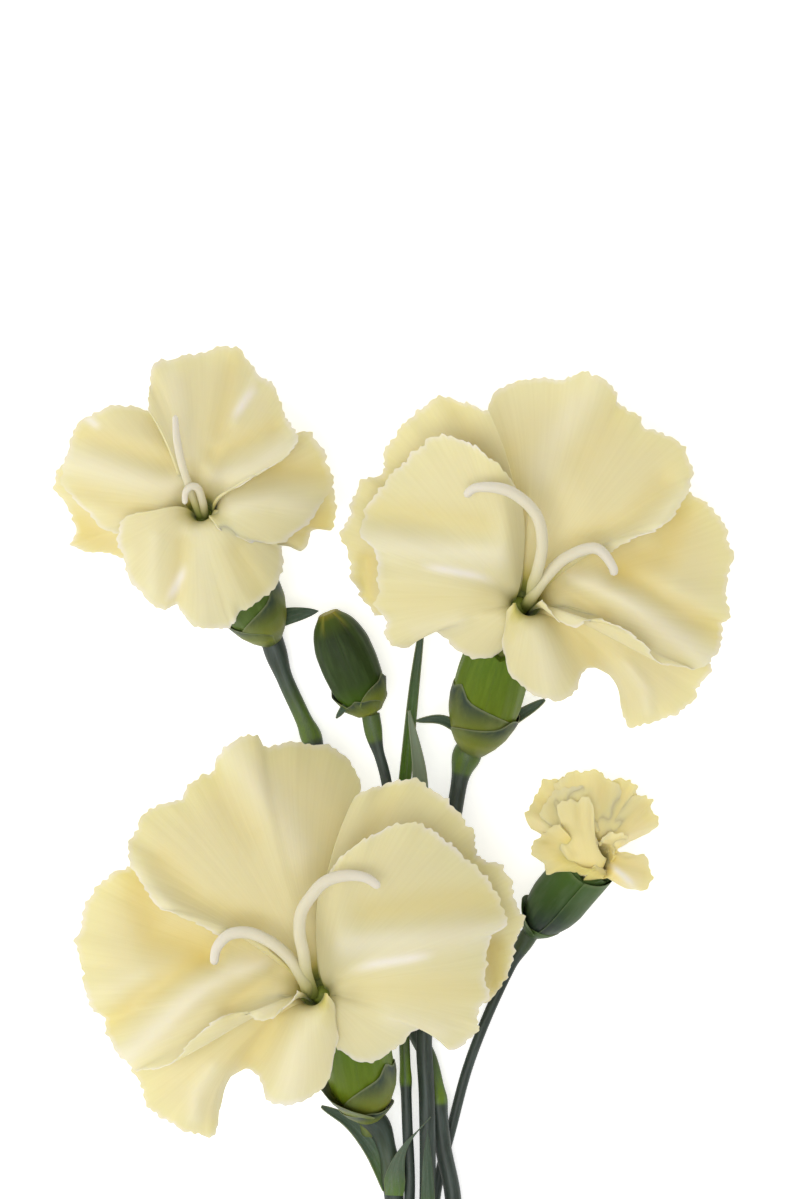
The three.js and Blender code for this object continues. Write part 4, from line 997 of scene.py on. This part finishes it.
def build_styles(name, material, petals):
    """The ovary in the tube of claws with the curled styles that it carries, over the petals."""
    flower = FLOWERS[name]
    axis = flower_frame(flower)[0]
    throat = np.array(flower["throat"], float)
    radius = STYLE_RADIUS * flower["style_size"]
    parts = Parts()
    rise = [throat - (THROAT_RISE + drop) * axis for drop in OVARY_DROPS]
    ovary, _, _ = even_curve(rise, STYLE_STEP)
    swell = np.linspace(-1, 1, len(ovary))
    ovary_radii = OVARY_RADIUS * np.sqrt(np.maximum(1 - swell**4, 0.01))
    points, faces, uv = tube(ovary, ovary_radii, OVARY_SIDES)
    parts.add(points, faces, uv, tube_ends(len(ovary), OVARY_SIDES), ripe=0.0)
    for path, aside in zip(flower["styles"], (STYLES_APART, -STYLES_APART)):
        start = throat + flower["style_foot"] + [aside, 0, 0]
        places, _, length = even_curve([start, *(throat + path)], STYLE_STEP)
        free = ramp(length, STYLE_FREE_FROM, STYLE_FREE_FROM + 4)
        lying = np.maximum(places[:, 2], laid_on(places, petals))
        lying = softened(np.maximum(lying, places[:, 2]), 1.5)
        places[:, 2] += free * (lying - places[:, 2])
        left = (length[-1] - length) / radius
        rounded = np.sqrt(np.clip(1 - (1 - np.minimum(left, 1)) ** 2, 0.02, 1))
        radii = radius * (0.74 + 0.26 * ramp(left, 0, 8)) * rounded
        points, faces, uv = tube(places, radii, ROUND_SIDES)
        ripe = np.repeat(length / length[-1], ROUND_SIDES)
        parts.add(points, faces, uv, tube_ends(len(places), ROUND_SIDES), ripe=ripe)
    parts.piece("styles_of_" + name, material, "style", "styles_" + name)


# ---------------------------------------------------------------- green parts


def stood(points, foot, head):
    """Turns points made along +Y so that they run from one place towards another."""
    direction = unit(np.subtract(head, foot))
    turn = Vector((0, 1, 0)).rotation_difference(Vector(direction)).to_matrix()
    return points @ np.array(turn).T + np.array(foot)


def lathe(heights, radii, sides, foot, head):
    """Closed rings round an axis: points, quads, a map of turn and height, and the faces at its
    ends. heights and radii hold a row for each ring, with a value for each side or one for all."""
    angles = angles_round(sides)
    rings = len(heights)
    height = np.broadcast_to(np.reshape(heights, (rings, -1)), (rings, sides))
    radius = np.broadcast_to(np.reshape(radii, (rings, -1)), (rings, sides))
    points = np.stack([radius * np.sin(angles), height, radius * np.cos(angles)], axis=2)
    placed = stood(points.reshape(-1, 3), foot, head)
    faces = grid_faces(rings, sides, around=True)[:, ::-1]
    ends = [end[::-1] for end in tube_ends(rings, sides)]
    return placed, faces, flat_map(angles / (2 * math.pi), height), ends


def calyx_radius(calyx, mouth):
    """How thick the calyx is: a goblet's outer radius, as a function of the height over its foot."""
    length = np.linalg.norm(np.subtract(calyx["mouth"], calyx["foot"]))
    heights = np.array([-CALYX_FOOT, 0, 0.1, 0.2, 0.36, 0.5, 0.75, 1.25]) * length
    radii = np.array([0.05, 0.3, 0.55, 0.74, 0.93, 1, 1]) * calyx["radius"]
    return lambda height: np.interp(height, heights, [*radii, mouth])


def off_seam(angles):
    """How far each angle lies from the nearest of five seams, 0.5 being midway between two."""
    return np.abs((5 * angles / (2 * math.pi)) % 1 - 0.5)


def add_calyx(parts, flower):
    """A ribbed calyx with a toothed mouth and a socket that the tube of claws sits in."""
    calyx = flower["calyx"]
    length = np.linalg.norm(np.subtract(calyx["mouth"], calyx["foot"]))
    socket = flower["claws"]["radius"] + SOCKET_GAP
    bottom = length - SOCKET_DEPTH
    angles = angles_round(CALYX_SIDES)
    tooth = CALYX_TEETH * (1 - 4 * off_seam(angles))
    rise = np.linspace(-CALYX_FOOT * length, length + CALYX_REACH, CALYX_RINGS)
    outer = rounded_off(calyx_radius(calyx, socket + CALYX_WALL)(rise))
    heights = rise[:, None] + tooth * ramp(rise, 0.7 * length, length)[:, None]
    radii = outer[:, None] * (1 + 0.012 * np.cos(CALYX_RIBS * angles))
    lip = length + CALYX_REACH + tooth
    level = np.ones(CALYX_SIDES)
    inner_heights = [lip, (length - 1) * level, bottom * level, bottom * level]
    inner_radii = [socket * level, socket * level, socket * level, NEARLY_CLOSED * level]
    points, faces, uv, ends = lathe(np.vstack([heights, inner_heights]),
                                    np.vstack([radii, inner_radii]),
                                    CALYX_SIDES, calyx["foot"], calyx["mouth"])
    uv[:, 1] /= length
    parts.add(points, faces, uv, ends, height=uv[:, 1])


def add_bract(parts, foot, head, radius_at, bract):
    """A broad scale with a small point, that hugs what stands on that foot."""
    t = np.linspace(0, 1, BRACT_ROWS)[:, None]
    across = np.linspace(-1, 1, BRACT_COLUMNS)[None, :]
    fall = bract.get("fall", 0.5) * np.abs(across) ** 2.4
    point = bract.get("point", 0.16) * np.exp(-((across / BRACT_POINT) ** 2))
    height = bract["start"] + (bract["reach"] * (1 - fall + point) - bract["start"]) * t
    around = math.radians(bract["turn"]) + across * bract["half"] / radius_at(0.6 * bract["reach"])
    lean = bract.get("lean", 0) * t**3
    out = np.maximum(radius_at(height), 0.8) + BRACT_GAP + lean + bract.get("over", 0)
    out = out - 0.12 * np.maximum(np.abs(across), t) ** 6
    grid = np.stack(np.broadcast_arrays(out * np.sin(around), height, out * np.cos(around)), axis=2)
    grid = stood(grid.reshape(-1, 3), foot, head).reshape(grid.shape)
    middle = grid[BRACT_ROWS // 2, BRACT_COLUMNS // 2] - np.array(foot)
    axis = unit(np.subtract(head, foot))
    thickness = 0.3 - 0.2 * np.maximum(np.abs(across), t) ** 4
    points, faces = shell(grid, thickness, middle - axis * (middle @ axis))
    uv = np.tile(flat_map(across, t), (2, 1))
    edge = np.maximum(np.abs(uv[:, 0]), uv[:, 1])
    parts.add(points, faces, uv, height=uv[:, 1] - 0.3 * np.abs(uv[:, 0]), edge=edge)


def build_calyx(name, materials):
    """The calyx of that flower, and its bracts as a piece of their own."""
    flower = FLOWERS[name]
    calyx = flower["calyx"]
    cup = Parts()
    add_calyx(cup, flower)
    cup.piece("calyx_" + name, materials["calyx_" + name], "green")
    radius_at = calyx_radius(calyx, flower["claws"]["radius"] + SOCKET_GAP + CALYX_WALL)
    scales = Parts()
    for bract in flower["bracts"]:
        add_bract(scales, calyx["foot"], calyx["mouth"], radius_at, bract)
    bract_kind = "dark_bract" if name == "d" else "bract"
    scales.piece("bracts_" + name, materials[bract_kind], "green")


def stem_radii(path, length, stem):
    """The stem's radius at each place: it swells at the joints and below its flower."""
    radii = stem["radius"] + stem["flare"] * (1 - ramp(length, 2, FLARE_LENGTH))
    for at, radius, half, _ in stem["knots"]:
        near = np.exp(-((np.linalg.norm(path - at, axis=1) / half) ** 2))
        radii = np.maximum(radii, stem["radius"] + (radius - stem["radius"]) * near)
    return radii


def build_stems(material):
    """All stems as one piece, bright green just above their joints."""
    parts = Parts()
    for stem in STEMS.values():
        path, _, length = even_curve(stem["path"], STEM_STEP)
        points, faces, uv = tube(path, stem_radii(path, length, stem), ROUND_SIDES)
        fresh = np.zeros(len(path))
        for at, _, _, green in stem["knots"]:
            above = path[:, 1] - at[1]
            near = np.exp(-(np.maximum(above, 0) / FRESH_LENGTH) ** 2)
            fresh = np.maximum(fresh, green * near * ramp(above, -1.2, -0.4))
        parts.add(points, faces, uv, tube_ends(len(path), ROUND_SIDES),
                  fresh=np.repeat(fresh, ROUND_SIDES))
    parts.piece("stems", material, "green", "leafy_stem")


def build_cut_end(material):
    """The pale face of the cut stem."""
    main = STEMS["main"]
    path, _, _ = even_curve(main["path"], STEM_STEP)
    end = path[-1]
    back = unit(path[-2] - end)
    disc = Parts()
    places = np.array([end + 0.3 * back, end, end - 0.06 * back])
    radii = 0.86 * main["radius"] * np.array([1, 1, 0.94])
    points, faces, uv = tube(places, radii, ROUND_SIDES)
    disc.add(points, faces, uv, tube_ends(len(places), ROUND_SIDES), height=0.5)
    disc.piece("cut_end", material, "green")


def add_leaf(parts, leaf):
    """A channelled blade, widest below the middle, ending in a point."""
    path, index, _ = even_curve(leaf["rib"], STEM_STEP)
    t = index / (len(leaf["rib"]) - 1)
    side = units(np.cross(np.gradient(path, axis=0), UP))
    width = leaf["half"] * np.maximum(0.06, np.minimum(1, 0.75 + t) * (1 - t**2) ** leaf["taper"])
    across = np.linspace(-1, 1, LEAF_COLUMNS)
    grid = path[:, None] + side[:, None] * (width[:, None] * across)[..., None]
    grid[..., 2] += leaf["fold"] * (width / leaf["half"])[:, None] * across**2
    points, faces = shell(grid, LEAF_THICKNESS, UP)
    uv = np.tile(flat_map(across, t[:, None]), (2, 1))
    parts.add(points, faces, uv, height=uv[:, 1] - leaf.get("fresh", 0), edge=np.abs(uv[:, 0]),
              patch=leaf.get("pale", 0))


def build_leaves(material):
    parts = Parts()
    for leaf in LEAVES + LOOSE_TIPS:
        add_leaf(parts, leaf)
    parts.piece("leaves", material, "green")


def bud_radius(height):
    """How thick the bud is at that height over its foot."""
    radii, heights = np.transpose(BUD["profile"])
    return np.interp(height, heights, radii)


def build_bud(materials):
    """The closed bud: a smooth ribbed body with its own bracts."""
    top = BUD["profile"][-1][1]
    rise = np.linspace(0, top, BUD_RINGS)
    angles = angles_round(BUD_SIDES)
    seam = np.exp(-((off_seam(angles) / SEAM_WIDTH) ** 2))
    split = ramp(rise, 0.62 * top, 0.95 * top)[:, None] * seam
    ribs = 0.01 * np.cos(CALYX_RIBS * angles)
    ribbed = rounded_off(bud_radius(rise))[:, None] * (1 + ribs - 0.14 * split)
    yellow = 0.5 * ramp(rise, 0.8 * top, top)[:, None] * seam
    points, faces, uv, ends = lathe(rise, ribbed, BUD_SIDES, BUD["foot"], BUD["tip"])
    uv[:, 1] /= top
    parts = Parts()
    parts.add(points, faces, uv, ends, height=uv[:, 1], patch=yellow.ravel())
    parts.piece("bud", materials["bud"], "green")
    scales = Parts()
    for bract in BUD["bracts"]:
        add_bract(scales, BUD["foot"], BUD["tip"], bud_radius, bract)
    scales.piece("bracts_bud", materials["bract"], "green")


# ---------------------------------------------------------------- materials


def linear(red, green, blue):
    """A colour as it is seen on a screen, 0 to 255, as a linear colour."""
    def one(value):
        value /= 255
        return value / 12.92 if value < 0.04045 else ((value + 0.055) / 1.055) ** 2.4
    return (one(red), one(green), one(blue), 1)


def new_material(name):
    material = bpy.data.materials.new(name)
    material.use_nodes = True
    tree = material.node_tree
    shader = tree.nodes["Principled BSDF"]
    return material, tree, shader


def add_node(tree, kind, **settings):
    """A new node. Settings named after one of its inputs set that input."""
    node = tree.nodes.new(kind)
    for key, value in settings.items():
        name = key.replace("_", " ")
        if name in node.inputs:
            node.inputs[name].default_value = value
        else:
            setattr(node, key, value)
    return node


def attribute(tree, name):
    return add_node(tree, "ShaderNodeAttribute", attribute_name=name).outputs["Fac"]


def colours_along(tree, factor, stops):
    """Colours along a factor: stops are (place, linear colour)."""
    node = tree.nodes.new("ShaderNodeValToRGB")
    elements = node.color_ramp.elements
    while len(elements) < len(stops):
        elements.new(0.5)
    for element, (place, colour) in zip(elements, stops):
        element.position = place
        element.color = colour
    tree.links.new(factor, node.inputs["Fac"])
    return node.outputs["Color"]


def colour_ramp(tree, factor, stops):
    """Colours along a factor: stops are (place, red, green, blue), as seen on a screen."""
    return colours_along(tree, factor, [(place, linear(*screen)) for place, *screen in stops])


def value_ramp(tree, factor, stops):
    """Values along a factor: stops are (place, value)."""
    return colours_along(tree, factor, [(place, (v, v, v, 1)) for place, v in stops])


def rescaled(tree, value, low, high):
    """0 where the value is low, 1 where it is high."""
    node = add_node(tree, "ShaderNodeMapRange", From_Min=low, From_Max=high)
    tree.links.new(value, node.inputs["Value"])
    return node.outputs["Result"]


def mix_colour(tree, factor, first, second):
    """The first colour where the factor is 0, the second where it is 1."""
    node = add_node(tree, "ShaderNodeMix", data_type="RGBA")
    named = {"Factor": factor, "A": first, "B": second}
    for socket in node.inputs:
        if not socket.enabled or socket.name not in named:
            continue
        value = named[socket.name]
        if isinstance(value, bpy.types.NodeSocket):
            tree.links.new(value, socket)
        else:
            socket.default_value = value
    return next(s for s in node.outputs if s.enabled)


def streaks(tree, across, along, detail=4):
    """Noise drawn out along a piece's map: across and along are how often it changes."""
    place = add_node(tree, "ShaderNodeUVMap", uv_map="UVMap").outputs["UV"]
    mapping = add_node(tree, "ShaderNodeMapping")
    mapping.inputs["Scale"].default_value = (across, along, 1)
    tree.links.new(place, mapping.inputs["Vector"])
    noise = add_node(tree, "ShaderNodeTexNoise", Scale=1.0, Detail=detail, Roughness=0.6)
    tree.links.new(mapping.outputs["Vector"], noise.inputs["Vector"])
    return noise.outputs["Fac"]


def bump(tree, shader, height, distance, strength):
    node = add_node(tree, "ShaderNodeBump", Strength=strength, Distance=distance)
    tree.links.new(height, node.inputs["Height"])
    tree.links.new(node.outputs["Normal"], shader.inputs["Normal"])


def set_inputs(shader, values):
    for name, value in values.items():
        shader.inputs[name].default_value = value


def petal_material():
    """Cream, paler towards the margin and olive green down in the throat, finely veined, with painted
    light and shade: deeper yellow in furrows, pale on ridges and along streaks, and a warm yellow glow
    where a flower has one.
    """
    material, tree, shader = new_material("petal")
    body = colour_ramp(tree, rescaled(tree, attribute(tree, "base"), 0, 3), [
        (0.0, 92, 112, 8), (0.14, 118, 130, 16), (0.28, 142, 144, 44), (0.4, 188, 178, 92),
        (0.6, 208, 199, 144), (1.0, 216, 208, 164),
    ])
    veins = streaks(tree, 56, 1.2, detail=3)
    fine = value_ramp(tree, veins, [(0.35, 0.0), (0.62, 1.0)])
    veined = mix_colour(tree, fine, linear(202, 192, 144), body)
    colour = mix_colour(tree, 0.22, body, veined)
    furrow_shade = rescaled(tree, attribute(tree, "fold"), 0.2, -2)
    ridge_highlight = rescaled(tree, attribute(tree, "fold"), 0.2, 2.4)
    # Painted shade and light: a warm yellow glow standing in for light through the petals, deeper yellow
    # shade in the furrows, and pale highlights on the ridges and along the streaks.
    for share, seen in (
        (attribute(tree, "warmth"), (246, 222, 140)),
        (furrow_shade, (212, 196, 126)),
        (ridge_highlight, (227, 221, 202)),
        (attribute(tree, "rim"), (222, 214, 204)),
        (attribute(tree, "streak"), (232, 225, 214)),
    ):
        colour = mix_colour(tree, share, colour, linear(*seen))
    tree.links.new(colour, shader.inputs["Base Color"])
    bump(tree, shader, veins, 0.03 * MM, 0.8)
    set_inputs(shader, {
        "Roughness": 0.58, "Specular IOR Level": 0.3, "Sheen Weight": 0.15,
        "Subsurface Weight": 0.35, "Subsurface Radius": (1.0, 0.8, 0.35),
        "Subsurface Scale": 0.8 * MM,
    })
    return material


def style_material():
    """Cream, green towards the foot."""
    material, tree, shader = new_material("style")
    body = colour_ramp(tree, attribute(tree, "ripe"), [
        (0.0, 130, 142, 44), (0.2, 186, 180, 122), (0.4, 210, 202, 168), (1.0, 216, 209, 192),
    ])
    tree.links.new(body, shader.inputs["Base Color"])
    bump(tree, shader, streaks(tree, 24, 3), 0.08 * MM, 0.6)
    set_inputs(shader, {
        "Roughness": 0.6, "Subsurface Weight": 0.3, "Subsurface Radius": (1.0, 0.8, 0.5),
        "Subsurface Scale": 0.8 * MM,
    })
    return material


def green_material(name, stops, vein, value="height", grain=(40, 3), edge=None, patch=None,
                   gloss=0.18):
    """Green with fine lengthwise veins and dull patches."""
    material, tree, shader = new_material(name)
    body = colour_ramp(tree, attribute(tree, value), stops)
    lines = streaks(tree, *grain)
    veined = value_ramp(tree, lines, [(0.45, 0.0), (0.75, 0.8)])
    colour = mix_colour(tree, veined, body, linear(*vein))
    patches = add_node(tree, "ShaderNodeTexNoise", Scale=260.0, Detail=3.0)
    dull = value_ramp(tree, patches.outputs["Fac"], [(0.45, 0.0), (0.7, 0.45)])
    colour = mix_colour(tree, dull, colour, linear(56, 68, 44))
    if edge:
        margin = value_ramp(tree, attribute(tree, "edge"), [(0.955, 0.0), (0.995, 0.5)])
        colour = mix_colour(tree, margin, colour, linear(*edge))
    if patch:
        colour = mix_colour(tree, attribute(tree, "patch"), colour, linear(*patch))
    tree.links.new(colour, shader.inputs["Base Color"])
    bump(tree, shader, lines, 0.12 * MM, 0.6)
    set_inputs(shader, {"Roughness": 0.5, "Specular IOR Level": gloss, "Subsurface Weight": 0.1,
                        "Subsurface Scale": 0.5 * MM})
    return material


def floor_material():
    material, _, shader = new_material("floor")
    set_inputs(shader, {"Base Color": (0.9, 0.9, 0.9, 1), "Roughness": 0.9,
                        "Emission Color": (1, 1, 1, 1), "Emission Strength": 0.5})
    return material


# ---------------------------------------------------------------- floor, light and camera


def build_floor():
    bpy.ops.mesh.primitive_plane_add(size=FLOOR_SIZE, location=(0, 0, -FLOOR_DROP * MM))
    floor = bpy.context.object
    floor.name = "floor"
    floor.data.materials.append(floor_material())


def add_light(name, place, size, power):
    light = bpy.data.lights.new(name, "AREA")
    light.shape = "DISK"
    light.size = size
    light.energy = power
    lamp = bpy.data.objects.new(name, light)
    lamp.location = place
    aim = Vector(LIGHTS_AIM) - Vector(place)
    lamp.rotation_euler = aim.to_track_quat("-Z", "Y").to_euler()
    lamp.visible_camera = False
    bpy.context.scene.collection.objects.link(lamp)


def build_lights():
    world = bpy.data.worlds.new("studio")
    world.use_nodes = True
    background = world.node_tree.nodes["Background"]
    background.inputs["Color"].default_value = (1, 1, 1, 1)
    background.inputs["Strength"].default_value = 0.62
    bpy.context.scene.world = world
    add_light("overhead", (-0.2, -0.2, 1.5), 0.9, 10.4)
    add_light("side", (-1.2, -0.2, 0.8), 0.7, 4)


def build_camera():
    seen = PHOTO_HEIGHT / PIXELS_PER_MM * MM
    camera = bpy.data.cameras.new("camera")
    camera.sensor_width = SENSOR
    camera.lens = SENSOR * (CAMERA_HEIGHT - FOCUS_HEIGHT) / seen
    camera.clip_end = 20
    eye = bpy.data.objects.new("camera", camera)
    middle = -DRAWN_MIDDLE * MM
    eye.location = (middle[0], middle[1], CAMERA_HEIGHT)
    bpy.context.scene.collection.objects.link(eye)
    bpy.context.scene.camera = eye
    bpy.context.scene.view_settings.view_transform = "Standard"


# ---------------------------------------------------------------- the whole spray

build_camera()
build_floor()
build_lights()

petal = petal_material()
style = style_material()
greens = {name: green_material(name, **look) for name, look in GREENS.items()}
build_stems(greens["stem"])
build_cut_end(greens["pith"])
build_leaves(greens["leaf"])
build_bud(greens)
for name, flower in FLOWERS.items():
    petals = build_petals(name, petal)
    build_calyx(name, greens)
    if "styles" in flower:
        build_styles(name, style, petals)
